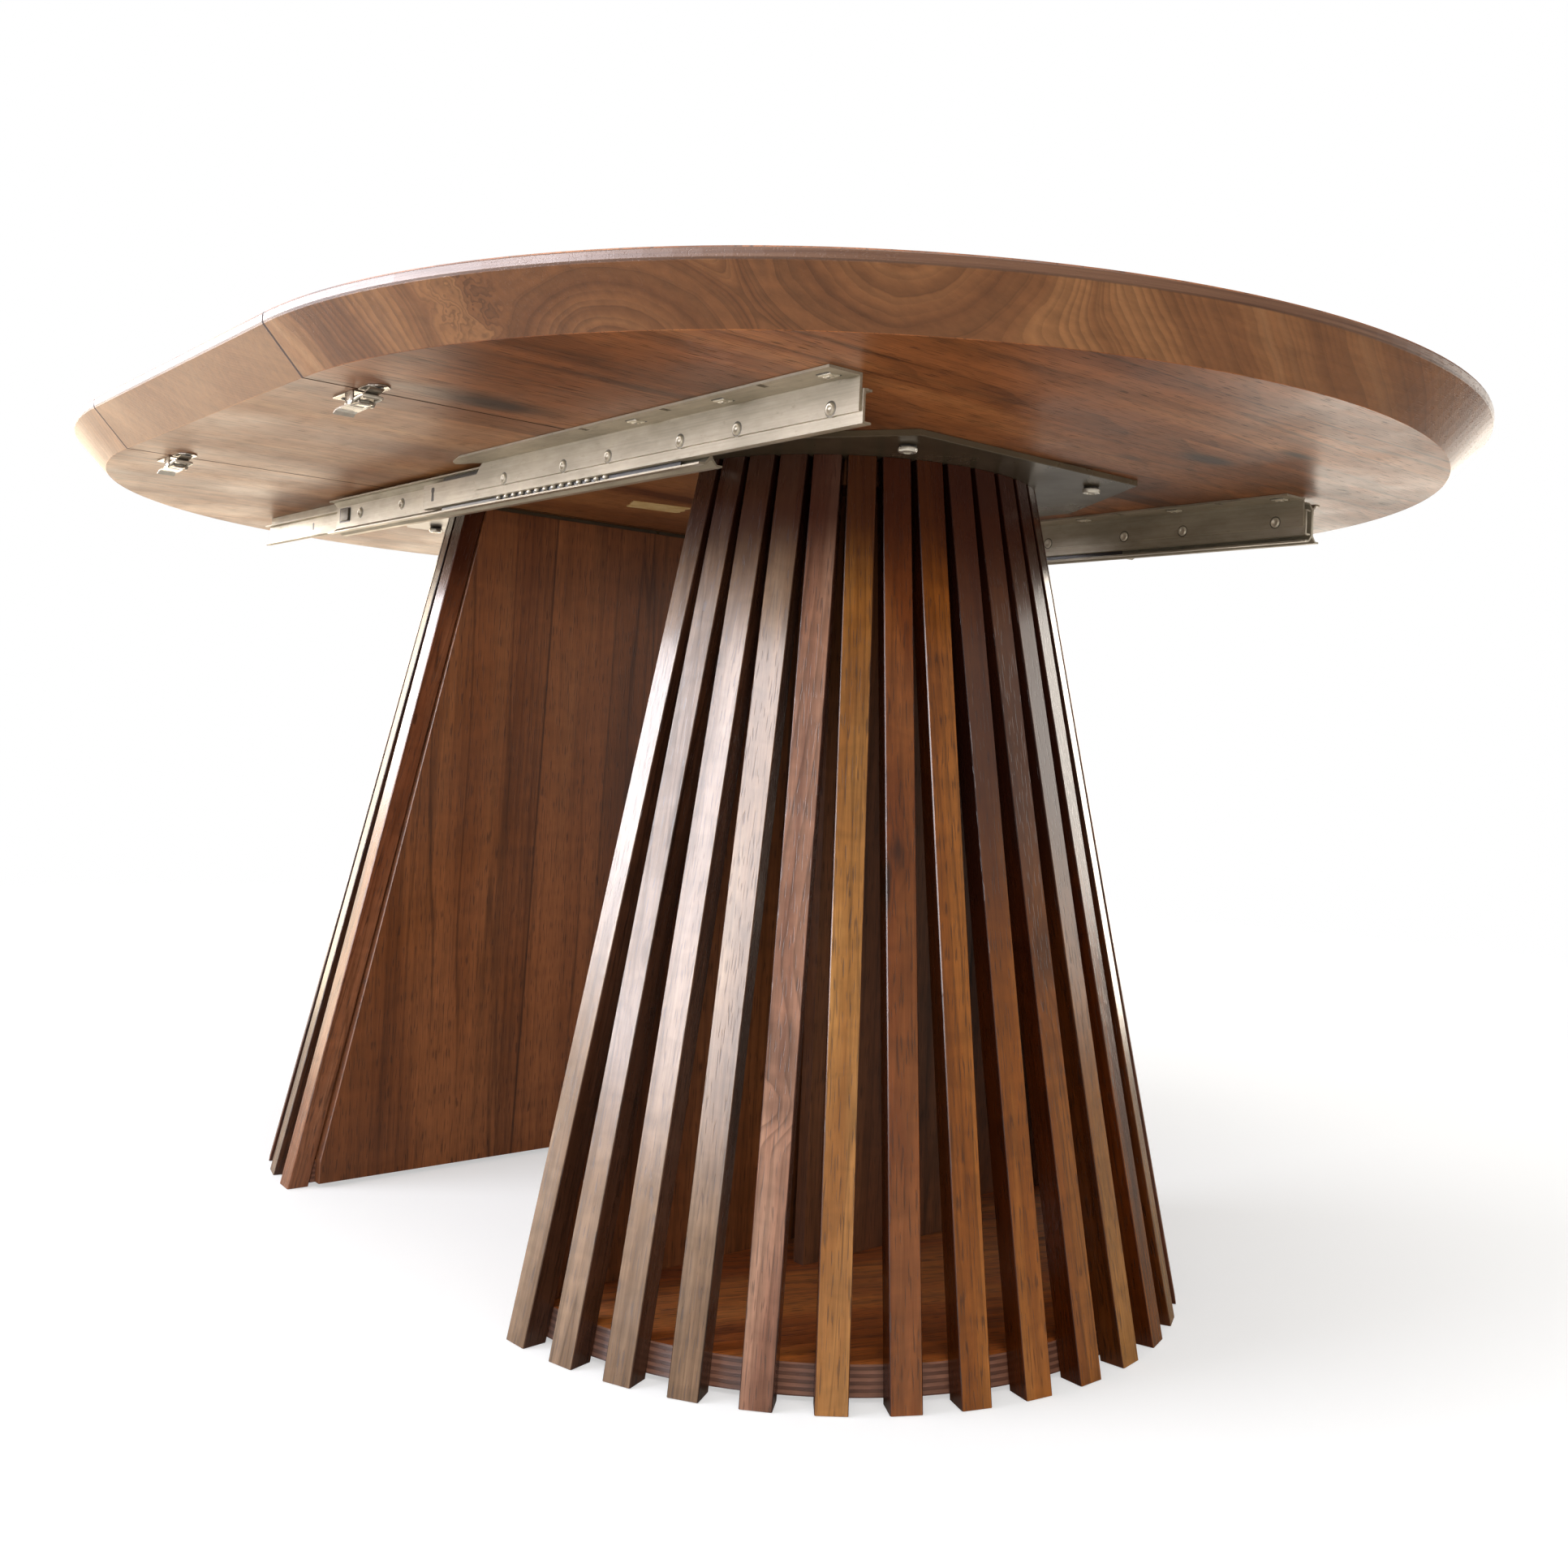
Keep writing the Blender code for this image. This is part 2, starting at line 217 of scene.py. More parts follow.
def walnut_layers(tree, place, seed, tones, pith, ring_pitch, taper=0.06, wander=0.01,
                  ring_depth=0.45, streak_depth=0.4, vein_depth=0.35, mottle=0.1,
                  tone_scale=(0.9, 9.0, 9.0), vein_scale=(1.1, 24.0, 24.0), knots=()):
    """Walnut in a board's frame. Returns its colour, and a height map of fibres and pores.

    pith is the (y, z) of the tree's centre in the board's frame, which sets the figure:
    far off it is straight, and close under the face it makes cathedrals. A knot is
    ((x, y), (half length, half width), depth) on the face, and the grain flows round it."""
    offset = (seed * 3.17, seed * 1.73, seed * 2.39)
    seeded = tree.vector("ADD", place, offset)

    # Growth rings, as wandering shells round the pith
    x, y, z = tree.split(place)
    from_pith = tree.join(tree.times(x, taper), tree.minus(y, pith[0]), tree.minus(z, pith[1]))
    radius = tree.length(from_pith)
    drift = tree.grain(seeded, (1.6, 7.0, 7.0), 2.0)
    fine = tree.grain(seeded, (4.0, 45.0, 45.0), 2.0)
    radius = tree.plus(radius, tree.swing(drift, 2 * wander))
    radius = tree.plus(radius, tree.swing(fine, 0.5 * ring_pitch))
    dark_spot = None
    for (knot_x, knot_y), (long, wide), depth in knots:
        gone = tree.vector("SUBTRACT", tree.join(x, y, 0.0), (knot_x, knot_y, 0.0))
        away = tree.length(tree.scaled(gone, 1 / long, 1 / wide, 0.0))
        radius = tree.plus(radius, tree.times(tree.between(away, 2.6, 0.0), 1.6 * ring_pitch))
        ragged = tree.swing(tree.grain(seeded, (30.0, 120.0, 120.0), 3.0), 1.4)
        spot = tree.times(tree.between(tree.plus(away, ragged), 1.35, 0.25), depth)
        dark_spot = tree.larger(dark_spot, spot)
    ring = tree.maths("FRACT", tree.maths("DIVIDE", radius, ring_pitch))
    late = tree.ramp(ring, (0.0, 0.3), (0.1, 0.0), (0.6, 0.2), (0.86, 0.8), (0.97, 1.0), (1.0, 0.3))
    strength = tree.grain(seeded, (1.2, 22.0, 22.0), 1.0)
    late = tree.times(late, tree.between(strength, 0.3, 0.68))

    # Long thin dark veins, where the pigment gathers
    wave = tree.grain(seeded, vein_scale, 2.0, 0.45)
    crest = tree.size(tree.minus(wave, 0.5))
    vein = tree.between(crest, 0.022, 0.0)
    where_veined = tree.grain(seeded, (0.9, 8.0, 8.0), 1.0)
    vein = tree.times(vein, tree.between(where_veined, 0.42, 0.62))

    # Broad bands of heartwood colour, then streaks, fibres, curl and open pores
    tone = tree.grain(seeded, tone_scale, 3.0, 0.55, 0.4)
    colour = tree.ramp(tone, *spread(tones, 0.3, 0.4), smooth=True)
    streak = tree.grain(seeded, (3.0, 85.0, 85.0), 4.0, 0.65)
    fibre = tree.grain(seeded, (20.0, 560.0, 560.0), 3.0, 0.7)
    curl = tree.grain(seeded, (55.0, 28.0, 28.0), 2.0, 0.5, 0.6)
    pore = tree.between(tree.grain(seeded, (60.0, 800.0, 800.0), 0.0), 0.63, 0.72)

    shade = tree.minus(1.0, tree.times(late, ring_depth))
    vein_shade = tree.minus(1.0, tree.times(vein, vein_depth))
    streak_shade = tree.ramp(streak, (0.28, 1.0 - streak_depth), (0.5, 1.0),
                             (0.72, 1.0 + 0.4 * streak_depth))
    fibre_shade = tree.ramp(fibre, (0.28, 0.8), (0.72, 1.18))
    curl_shade = tree.ramp(curl, (0.3, 1.0 - mottle), (0.7, 1.0 + mottle))
    for layer in (shade, vein_shade, streak_shade, fibre_shade, curl_shade):
        colour = tree.tint(colour, layer)
    if dark_spot is not None:
        colour = tree.mix(dark_spot, colour, srgb(40, 24, 18))
    colour = tree.mix(tree.times(pore, 0.55), colour, srgb(46, 26, 16))
    height = tree.minus(tree.times(fibre, 0.5), pore)
    return colour, height


def satin(tree, height, low=0.3, high=0.44):
    """Roughness of a satin lacquer, duller in the pores and unevenly wiped."""
    wipe = tree.noise(tree.place, 9.0, 3.0)
    rough = tree.ramp(wipe, (0.3, low), (0.7, high))
    return tree.minus(rough, tree.times(height, 0.08))


STRIP_LEAN = 0.0266
PLATE_SHADE_LEVELS = (0.575, 0.665)    # levels between which the painted shade under the plate and tabletop sets in
PLUM_HEARTWOOD = (0.24, 0.46)   # levels between which the heartwood turns purplish


def walnut_board(name, along, across, origin, seed, tones, pith=(0.05, -0.05), ring_pitch=0.006,
                 gloss=(0.3, 0.42), painted_top_shade=0.0, plum_top=0.0, painted_side_shade=None, strips=(),
                 **figure):
    """A solid or veneered walnut piece with its grain one way all through.

    painted_top_shade is how much painted shade darkens the piece close under the plate and the
    tabletop, and plum_top is how far the heartwood turns purplish higher up. painted_side_shade is
    painted shade multiplied into a slat's sides, which lie in the shadow between slats. strips are
    (from, to, shade) bands across the face where leaves of veneer meet."""
    tree = Tree(name)
    place = board_place(tree, along, across, origin)
    colour, height = walnut_layers(tree, place, seed, tones, pith, ring_pitch, **figure)
    across_face = tree.split(place)[1]
    for low, high, shade in strips:
        wobble = tree.swing(tree.grain(place, (2.0, 0.0, 0.0), 1.0), 0.006)
        wobble = tree.minus(wobble, tree.times(tree.split(place)[0], STRIP_LEAN))
        y = tree.plus(across_face, wobble)
        inside = tree.times(tree.between(y, low - 0.0006, low + 0.0006),
                            tree.between(y, high + 0.0006, high - 0.0006))
        colour = tree.mix(inside, colour, tree.tint(colour, (shade, shade, shade, 1.0)))
    if painted_top_shade:
        level = tree.split(tree.place)[2]
        if plum_top:
            plum = tree.times(tree.between(level, *PLUM_HEARTWOOD), plum_top)
            colour = tree.mix(plum, colour, srgb(66, 46, 43))
        # Painted shade: darker towards the top, standing in for the shadow under the plate and tabletop
        shade_under_top = tree.times(tree.between(level, *PLATE_SHADE_LEVELS), painted_top_shade)
        colour = tree.mix(shade_under_top, colour, srgb(46, 18, 11))
    # Painted shade on the slat's sides, where the gaps between slats are in shadow
    if painted_side_shade:
        side = tree.between(tree.size(across_face), SLAT_HALF_WIDTH - 0.0008, SLAT_HALF_WIDTH - 0.0003)
        colour = tree.mix(side, colour, tree.tint(colour, painted_side_shade))
    return tree.finish(colour, satin(tree, height, *gloss), height, 0.00015, 0.35)


# ---------- tops

VENEER_LEAF = 0.2075    # the width of a leaf of veneer
RING_FOLD = -0.464      # where along the rim the lipping's growth rings fold
TOP_TONES = (srgb(74, 38, 18), srgb(128, 74, 38), srgb(154, 94, 52), srgb(178, 116, 68))
BEVEL_TONES = (srgb(92, 56, 32), srgb(117, 76, 46), srgb(146, 102, 66), srgb(166, 126, 90))


def rim_run(tree, round_end):
    """How far along the rim a point is."""
    x, y, _ = tree.split(tree.place)
    if not round_end:
        return x
    past_seam = tree.minus(tree.size(x), HALF_LEAF)
    return tree.times(tree.maths("ARCTAN2", y, past_seam), RIM_RADIUS)


def bevel_shell(tree, arcs, round_end):
    """How far out in the lipping's growth rings a point on the bevel is.

    Near the arcs' centres the rings nest round them. Elsewhere they cross the bevel,
    leaning further over the further they are from the centres."""
    z = tree.split(tree.place)[2]
    from_fold = tree.minus(rim_run(tree, round_end), RING_FOLD)
    lean = tree.plus(tree.times(tree.larger(from_fold, 0.0), 6.0),
                     tree.times(tree.maths("MINIMUM", from_fold, 0.0), 0.8))
    lean = tree.times(lean, tree.minus(z, UNDERSIDE))
    shell = tree.plus(tree.size(from_fold), lean)
    nearest = None
    for centre, stretch in arcs:
        gone = tree.scaled(tree.vector("SUBTRACT", tree.place, centre), *stretch)
        distance = tree.length(gone)
        nearest = distance if nearest is None else tree.maths("SMOOTH_MIN", nearest, distance, 0.03)
    if nearest is not None:
        nested = tree.between(nearest, 0.125, 0.075)
        change = tree.minus(tree.plus(nearest, 0.097), shell)
        shell = tree.plus(shell, tree.times(change, nested))
    shell = tree.plus(shell, tree.swing(tree.noise(tree.place, 4.0, 2.0), 0.06))
    return tree.plus(shell, tree.swing(tree.noise(tree.place, 26.0, 3.0), 0.01))


def top_material(name, seed, tones, bevel_tones, arcs, knots, round_end=True, contrast=1.0,
                 burls=()):
    """Flat veneer above and below with its grain along Y, and a solid lipping under the bevel."""
    tree = Tree(name)
    x, _, z = tree.split(tree.place)

    # The veneer is laid in leaves, each with its own part of the figure
    leaf_number = tree.maths("FLOOR", tree.maths("DIVIDE", tree.plus(x, 10.0), VENEER_LEAF))
    leaf_jump = tree.join(tree.times(leaf_number, 0.37), 0.0, tree.times(leaf_number, 0.011))
    jumped = tree.vector("ADD", board_place(tree, Y, X), leaf_jump)
    flat, height = walnut_layers(tree, jumped, seed, tones, (0.1, 0.16), 0.0095, taper=0.1,
                                 wander=0.02, ring_depth=0.38 * contrast, vein_depth=0.62 * contrast,
                                 streak_depth=0.42 * contrast, tone_scale=(1.1, 11.0, 11.0),
                                 vein_scale=(1.3, 21.0, 21.0))
    for centre, reach, depth in knots:
        gone = tree.vector("SUBTRACT", tree.place, centre)
        gone = tree.scaled(gone, 1 / reach[0], 1 / reach[1], 1 / 0.05)
        ragged = tree.times(tree.grain(tree.place, (26.0, 7.0, 26.0), 3.0), 1.1)
        spot = tree.between(tree.minus(tree.length(gone), ragged), 0.55, -0.35)
        flat = tree.mix(tree.times(spot, depth), flat, srgb(44, 32, 28))

    # The bevel cuts across the rings of the lipping
    shell = bevel_shell(tree, arcs, round_end)
    squiggle = None
    for centre, reach in burls:
        away = tree.length(tree.vector("SUBTRACT", tree.place, centre))
        inside = tree.between(away, reach, 0.35 * reach)
        swirl = tree.times(tree.swing(tree.noise(tree.place, 55.0, 3.0), 0.085), inside)
        shell = tree.plus(shell, swirl)
        squiggle = tree.larger(squiggle, inside)
    lines = []
    for pitch, edge in ((0.0078, 0.72), (0.034, 0.945)):
        ring = tree.maths("FRACT", tree.maths("DIVIDE", shell, pitch))
        lines.append(tree.ramp(ring, (0.0, 0.1), (0.06, 0.0), (edge - 0.25, 0.1), (edge, 0.7),
                               (0.97, 1.0), (1.0, 0.1)))
    come_and_go = tree.between(tree.noise(tree.place, 9.0, 1.0), 0.3, 0.66)
    late = tree.times(lines[0], tree.plus(tree.times(come_and_go, 0.6), 0.22))
    late = tree.larger(late, tree.times(lines[1], 0.8))
    if squiggle is not None:
        late = tree.larger(late, tree.times(lines[0], squiggle))
    broad = tree.noise(tree.join(tree.times(shell, 17.0), 0.0, seed * 1.3), 1.0, 3.0, 0.6)
    lipping = tree.ramp(broad, *spread(bevel_tones, 0.28, 0.44), smooth=True)
    across_fibre = tree.grain(tree.place, (160.0, 18.0, 160.0), 3.0, 0.6)
    late = tree.times(late, 0.44 * (0.4 + 0.6 * contrast))
    calm = tree.between(tree.minus(rim_run(tree, round_end), RING_FOLD), 0.12, 0.38)
    late = tree.times(late, tree.minus(1.0, tree.times(calm, 0.25)))
    lipping = tree.mix(tree.times(calm, 0.68), lipping, bevel_tones[1])
    lipping = tree.tint(lipping, tree.minus(1.0, late))
    lipping = tree.tint(lipping, tree.ramp(across_fibre, (0.25, 0.8), (0.75, 1.16)))

    # The band round the rim has its grain round the edge
    rim_streak = tree.grain(tree.place, (9.0, 9.0, 500.0), 3.0)
    rim = tree.ramp(rim_streak, (0.3, srgb(84, 57, 43)), (0.7, srgb(110, 80, 62)))

    on_bevel = tree.between(z, UNDERSIDE + 0.0001, UNDERSIDE + 0.0006)
    on_rim = tree.between(z, RIM_FOOT - 0.0006, RIM_FOOT + 0.0002)
    on_top = tree.between(z, HEIGHT - 0.0016, HEIGHT - 0.0012)
    colour = tree.mix(on_bevel, flat, lipping)
    colour = tree.mix(on_rim, colour, rim)
    colour = tree.mix(on_top, colour, flat)
    rim_joint = tree.between(tree.size(tree.minus(z, RIM_FOOT)), 0.0009, 0.0004)
    from_seam = tree.size(tree.minus(tree.size(x), HALF_LEAF))
    at_seam = tree.between(from_seam, 0.0018, 0.0012)
    cut_face = tree.between(tree.size(tree.facing(0)), 0.95, 0.98)
    seam = tree.times(at_seam, tree.minus(1.0, cut_face))
    colour = tree.mix(tree.times(rim_joint, 0.32), colour, srgb(40, 26, 20))
    edge_strip = tree.tint(flat, (0.62, 0.6, 0.58, 1.0))
    colour = tree.mix(tree.times(at_seam, cut_face), colour, edge_strip)
    colour = tree.mix(tree.times(seam, 0.9), colour, srgb(22, 14, 11))
    roughness = tree.larger(satin(tree, height, 0.36, 0.48), tree.times(seam, 0.95))
    roughness = tree.larger(roughness, tree.times(on_top, 0.62))
    return tree.finish(colour, roughness, height, 0.00015, 0.3)


def dress(node, mat):
    """Give a CAD node its finished material."""
    for slot in NODES[node].material_slots:
        slot.link = "DATA"
        slot.material = mat


def near_point(degrees, z):
    """A point on the near half's bevel, by its angle round the half disc."""
    angle = math.radians(degrees)
    radius = RIM_RADIUS - RIM_UNDERCUT * (RIM_FOOT - z) / (RIM_FOOT - UNDERSIDE)
    return (HALF_LEAF + radius * math.cos(angle), radius * math.sin(angle), z)


NEAR_ARCS = (
    (near_point(-57.5, 0.708), (1.0, 1.0, 1.5)),
    (near_point(-38.5, 0.762), (0.9, 0.9, 1.3)),
)
FAR_ARCS = (
    ((-0.52, 0.46, 0.708), (0.8, 0.8, 1.5)),
    ((-0.7, 0.22, 0.764), (0.8, 0.8, 1.2)),
)
GOLDEN_TONES = (srgb(92, 50, 26), srgb(138, 86, 48), srgb(162, 108, 64), srgb(184, 132, 86))
GOLDEN_BEVEL = (srgb(104, 68, 40), srgb(130, 90, 56), srgb(150, 108, 72), srgb(168, 126, 88))

NEAR_KNOTS = (
    ((0.258, -0.4, UNDERSIDE), (0.045, 0.1), 0.75), ((0.25, -0.388, UNDERSIDE), (0.02, 0.044), 0.95),
    ((0.455, -0.24, UNDERSIDE), (0.035, 0.16), 0.35), ((0.55, 0.093, UNDERSIDE), (0.013, 0.045), 0.9),
    ((0.615, 0.119, UNDERSIDE), (0.01, 0.04), 0.9),
)
LEAF_KNOTS = (((0.05, -0.3, UNDERSIDE), (0.04, 0.14), 0.25),)
NEAR_BURLS = ((near_point(-68, 0.737), 0.042),)

dress("near_half_top", top_material(
    "walnut_near_top", 1.0, TOP_TONES, BEVEL_TONES, NEAR_ARCS, NEAR_KNOTS, burls=NEAR_BURLS))
dress("far_half_top", top_material(
    "walnut_far_top", 2.3, GOLDEN_TONES, GOLDEN_BEVEL, FAR_ARCS, (), contrast=0.45))
dress("leaf_top", top_material(
    "walnut_leaf_top", 3.7, GOLDEN_TONES, GOLDEN_BEVEL, (), LEAF_KNOTS, round_end=False, contrast=0.38))


# ---------- pedestals

DARK_TONES = (srgb(80, 44, 24), srgb(122, 72, 40), srgb(142, 88, 52), srgb(160, 106, 66))
SLAT_TONES = {
    "pink": (srgb(98, 64, 48), srgb(126, 88, 72), srgb(148, 110, 92), srgb(164, 130, 112)),
    "grey": (srgb(92, 70, 54), srgb(120, 96, 76), srgb(140, 116, 96), srgb(156, 134, 114)),
    "rose": (srgb(96, 56, 34), srgb(126, 80, 56), srgb(146, 100, 74), srgb(160, 116, 90)),
    "gold": (srgb(100, 60, 23), srgb(130, 84, 38), srgb(148, 102, 52), srgb(162, 117, 66)),
    "brown": (srgb(70, 34, 14), srgb(100, 52, 22), srgb(118, 68, 32), srgb(134, 84, 46)),
    "warm": (srgb(88, 46, 14), srgb(122, 70, 25), srgb(138, 84, 34), srgb(152, 98, 46)),
}
NEAR_ORDER = ("grey", "grey", "grey", "grey", "pink", "gold", "brown", "warm", "warm", "warm",
              "gold", "warm", "gold", "rose", "warm", "grey", "brown", "warm", "rose")
FAR_ORDER = ("rose", "grey", "rose", "warm", "grey", "gold", "rose", "warm", "brown", "gold",
             "warm", "rose", "grey", "warm", "gold", "brown", "rose", "grey", "rose")
PLUM_SLATS = range(8, 13)               # the near slats whose heartwood is purplish
# Painted shade multiplied into the slats' sides, which lie in the shadow between slats
SLAT_SIDE_SHADE = srgb(132, 106, 98)
OPEN_SLAT_SIDE_SHADE = srgb(236, 226, 220)    # lighter painted shade, on the far half's two end slats whose sides are lit

# Knots by half and slat number: (place up and across the slat), (half length, half width), depth
SLAT_KNOTS = {
    ("near", 7): (((0.404, -0.002), (0.016, 0.006), 0.75), ((0.376, -0.011), (0.02, 0.003), 0.9)),
    ("near", 5): (((0.247, 0.004), (0.03, 0.013), 0.38), ((0.205, 0.0), (0.012, 0.014), 0.22)),
    ("near", 10): (((0.324, 0.004), (0.03, 0.016), 0.55),),
    ("near", 2): (((0.31, 0.006), (0.01, 0.004), 0.35),),
    ("far", 3): (((0.3, 0.004), (0.014, 0.005), 0.6),),
    ("far", 12): (((0.46, -0.003), (0.02, 0.008), 0.7),),
}


def slat_frame(side, index):
    """A slat's directions in the row frame: up its length, across its face, and its foot."""
    angle = (index - (SLAT_COUNT - 1) / 2) * SLAT_PITCH
    outward = Vector((side * math.cos(angle), math.sin(angle), 0))
    sideways = Vector((-side * math.sin(angle), math.cos(angle), 0))
    length_way = (Z - outward * CONE_TAPER).normalized()
    foot = Vector((side * CONE_CENTRE, 0, 0)) + outward * CONE_RADIUS
    return length_way, sideways, foot


def dress_slats():
    draw = random.Random(41)
    for (word, side), order in zip(HALVES, (NEAR_ORDER, FAR_ORDER)):
        for i in range(SLAT_COUNT):
            length_way, sideways, foot = slat_frame(side, i)
            pith = (draw.uniform(-0.09, 0.09), draw.choice((-1, 1)) * draw.uniform(0.02, 0.09))
            open_side = side < 0 and i in (0, SLAT_COUNT - 1)
            dress(f"{word}_slat_{i + 1:02d}", walnut_board(
                f"walnut_{word}_slat_{i + 1:02d}", length_way, sideways, foot, draw.uniform(1, 30),
                SLAT_TONES[order[i]], pith, ring_pitch=draw.uniform(0.0045, 0.008), gloss=(0.2, 0.28),
                painted_top_shade=0.9, plum_top=0.8 if side > 0 and i in PLUM_SLATS else 0.0,
                painted_side_shade=OPEN_SLAT_SIDE_SHADE if open_side else SLAT_SIDE_SHADE,
                knots=SLAT_KNOTS.get((word, i + 1), ()), taper=draw.uniform(0.03, 0.1),
                ring_depth=0.4, streak_depth=0.26, mottle=0.13,
                tone_scale=(2.6, 26.0, 26.0), vein_scale=(2.2, 48.0, 48.0)))


PLY_THICKNESS = 0.00245
PLY_FACE = (srgb(136, 64, 20), srgb(190, 102, 40), srgb(214, 128, 58), srgb(232, 150, 76))


def ply_material(name, seed):
    """Plywood: thin plies that show as lines on the edges, and a brown stained face."""
    tree = Tree(name)
    level = tree.maths("DIVIDE", tree.split(tree.place)[2], PLY_THICKNESS)
    wave = tree.times(tree.noise(tree.place, 30.0, 2.0), 0.25)
    ply = tree.maths("FRACT", tree.times(tree.plus(level, wave), 0.5))
    line = tree.ramp(ply, (0.0, 0.0), (0.44, 0.1), (0.5, 1.0), (0.56, 0.7), (0.94, 0.75), (1.0, 0.0))
    place = board_place(tree, (0.35, 1, 0), (1, -0.35, 0))
    face, height = walnut_layers(tree, place, seed, PLY_FACE, (0.1, 0.02), 0.016, wander=0.03,
                                 ring_depth=0.4)
    edge = tree.mix(line, srgb(118, 82, 68), srgb(66, 40, 32))
    speck = tree.grain(tree.place, (60.0, 60.0, 400.0), 3.0)
    edge = tree.tint(edge, tree.ramp(speck, (0.3, 0.75), (0.7, 1.15)))
    on_face = tree.between(tree.size(tree.facing(2)), 0.6, 0.8)
    colour = tree.mix(on_face, edge, face)
    return tree.finish(colour, satin(tree, height, 0.5, 0.62), tree.plus(height, line), 0.0002, 0.4)


# (from, to, shade) across the back panels: the dark joint, a paler leaf, its edges, a darker leaf
PANEL_STRIPS = ((-0.0796, -0.0772, 0.42), (-0.0772, 0.006, 1.2), (0.006, 0.0085, 0.7),
                (0.052, 0.0545, 0.7), (-0.3, -0.2, 0.82))
INNER_TONES = (srgb(70, 40, 24), srgb(98, 58, 34), srgb(112, 70, 42), srgb(124, 82, 54))


def dress_pedestals():
    for (word, side), seed in zip(HALVES, (5.1, 6.4)):
        dress(f"{word}_back_panel", walnut_board(
            f"walnut_{word}_panel", Z, Y, (side * 0.2, 0, 0), seed, DARK_TONES, (0.12, 0.05), 0.01,
            taper=0.05, wander=0.012, ring_depth=0.3, streak_depth=0.26, vein_depth=0.5,
            gloss=(0.36, 0.48), tone_scale=(0.7, 10.0, 10.0), painted_top_shade=0.34, plum_top=0.22,
            strips=PANEL_STRIPS))
        dress(f"{word}_base_board", ply_material(f"ply_{word}_base", seed + 1))
        dress(f"{word}_inner_frame", walnut_board(
            f"brown_{word}_inner_frame", Z, Y, (0, 0, 0), seed + 2, INNER_TONES, (0.2, 0.1), 0.009,
            gloss=(0.45, 0.6)))


dress_slats()
dress_pedestals()


# ---------- metal

def powder_coat(name, colour, roughness):
    """A dark coat with a fine pebble, rubbed a little paler in patches."""
    tree = Tree(name)
    grain = tree.noise(tree.place, 900.0, 2.0)
    rub = tree.noise(tree.place, 14.0, 4.0, 0.6)
    paler = tuple(min(1.0, c * 1.8) for c in colour[:3]) + (1.0,)
    shade = tree.mix(tree.ramp(rub, (0.45, 0.0), (0.75, 0.6)), colour, paler)
    rough = tree.ramp(rub, (0.3, roughness), (0.7, roughness - 0.12))
    return tree.finish(shade, rough, grain, 0.0001, 0.35)


def zinc_sheet(name, light, dark, roughness=0.36):
    """Zinc-plated strip: drawn lines along its length, cloudy patches and small scuffs."""
    tree = Tree(name)
    drawn = tree.grain(tree.place, (5.0, 700.0, 700.0), 3.0, 0.6)
    cloud = tree.grain(tree.place, (14.0, 30.0, 45.0), 4.0, 0.6)
    scuff = tree.grain(tree.place, (60.0, 160.0, 160.0), 4.0, 0.7)
    colour = tree.ramp(cloud, (0.28, dark), (0.72, light), smooth=True)
    colour = tree.tint(colour, tree.ramp(drawn, (0.25, 0.86), (0.75, 1.08)))
    colour = tree.mix(tree.ramp(scuff, (0.6, 0.0), (0.72, 0.35)), colour, srgb(92, 82, 70))

    # The down-facing faces, the flanges' undersides among them, are painted brighter than the webs:
    # painted light for the floor's bounce
    painted_underside_light = tree.tint(colour, (1.5, 1.48, 1.46, 1.0))
    colour = tree.mix(tree.between(tree.facing(2), -0.7, -0.9), colour, painted_underside_light)
    rough = tree.ramp(cloud, (0.3, roughness + 0.1), (0.7, roughness - 0.05))
    rough = tree.plus(rough, tree.times(scuff, 0.08))
    return tree.finish(colour, rough, drawn, 0.00008, 0.3, Metallic=0.6)


def bright_metal(name, colour, roughness, metallic):
    """Nickel plate with faint tool marks and handling haze."""
    tree = Tree(name)
    haze = tree.noise(tree.place, 180.0, 3.0)
    mark = tree.grain(tree.place, (400.0, 1800.0, 400.0), 2.0)
    shade = tree.tint(colour, tree.ramp(haze, (0.3, 0.82), (0.7, 1.05)))
    rough = tree.ramp(haze, (0.3, roughness + 0.12), (0.7, roughness))
    return tree.finish(shade, rough, mark, 0.00005, 0.25, Metallic=metallic)


def paper_tape(name):
    """Plain crepe paper tape, with its fine cross ripple."""
    tree = Tree(name)
    place = board_place(tree, (0.35, -0.94, 0), (0.94, 0.35, 0))
    crepe = tree.grain(place, (160.0, 1500.0, 900.0), 2.0)
    stain = tree.noise(tree.place, 60.0, 3.0)
    colour = tree.ramp(stain, (0.3, srgb(214, 184, 120)), (0.7, srgb(234, 208, 152)))
    colour = tree.tint(colour, tree.ramp(crepe, (0.3, 0.88), (0.7, 1.05)))
    return tree.finish(colour, tree.ramp(stain, (0.3, 0.75), (0.7, 0.85)), crepe, 0.0002, 0.5)


PLATE_COAT = powder_coat("plate_coat", srgb(70, 61, 48), 0.36)
ZINC = zinc_sheet("rail_zinc", srgb(170, 162, 146), srgb(142, 135, 120))
ZINC_DARK = zinc_sheet("rail_zinc_inner", srgb(114, 109, 99), srgb(82, 78, 70), 0.42)
ZINC_BRIGHT = zinc_sheet("rail_zinc_bright", srgb(212, 206, 192), srgb(178, 172, 158), 0.26)
NICKEL = bright_metal("latch_nickel", srgb(176, 170, 160), 0.15, 0.9)
NICKEL_EDGE = bright_metal("bright_nickel", srgb(236, 232, 222), 0.14, 0.7)
# Black steel for screws; the same black paints the shade in slits, holes and windows, in the gap between
# the rails and under the bolt heads
BLACK_STEEL_AND_SHADE = powder_coat("black_steel_and_shade", srgb(30, 27, 25), 0.38)
TAPE = paper_tape("paper_tape")

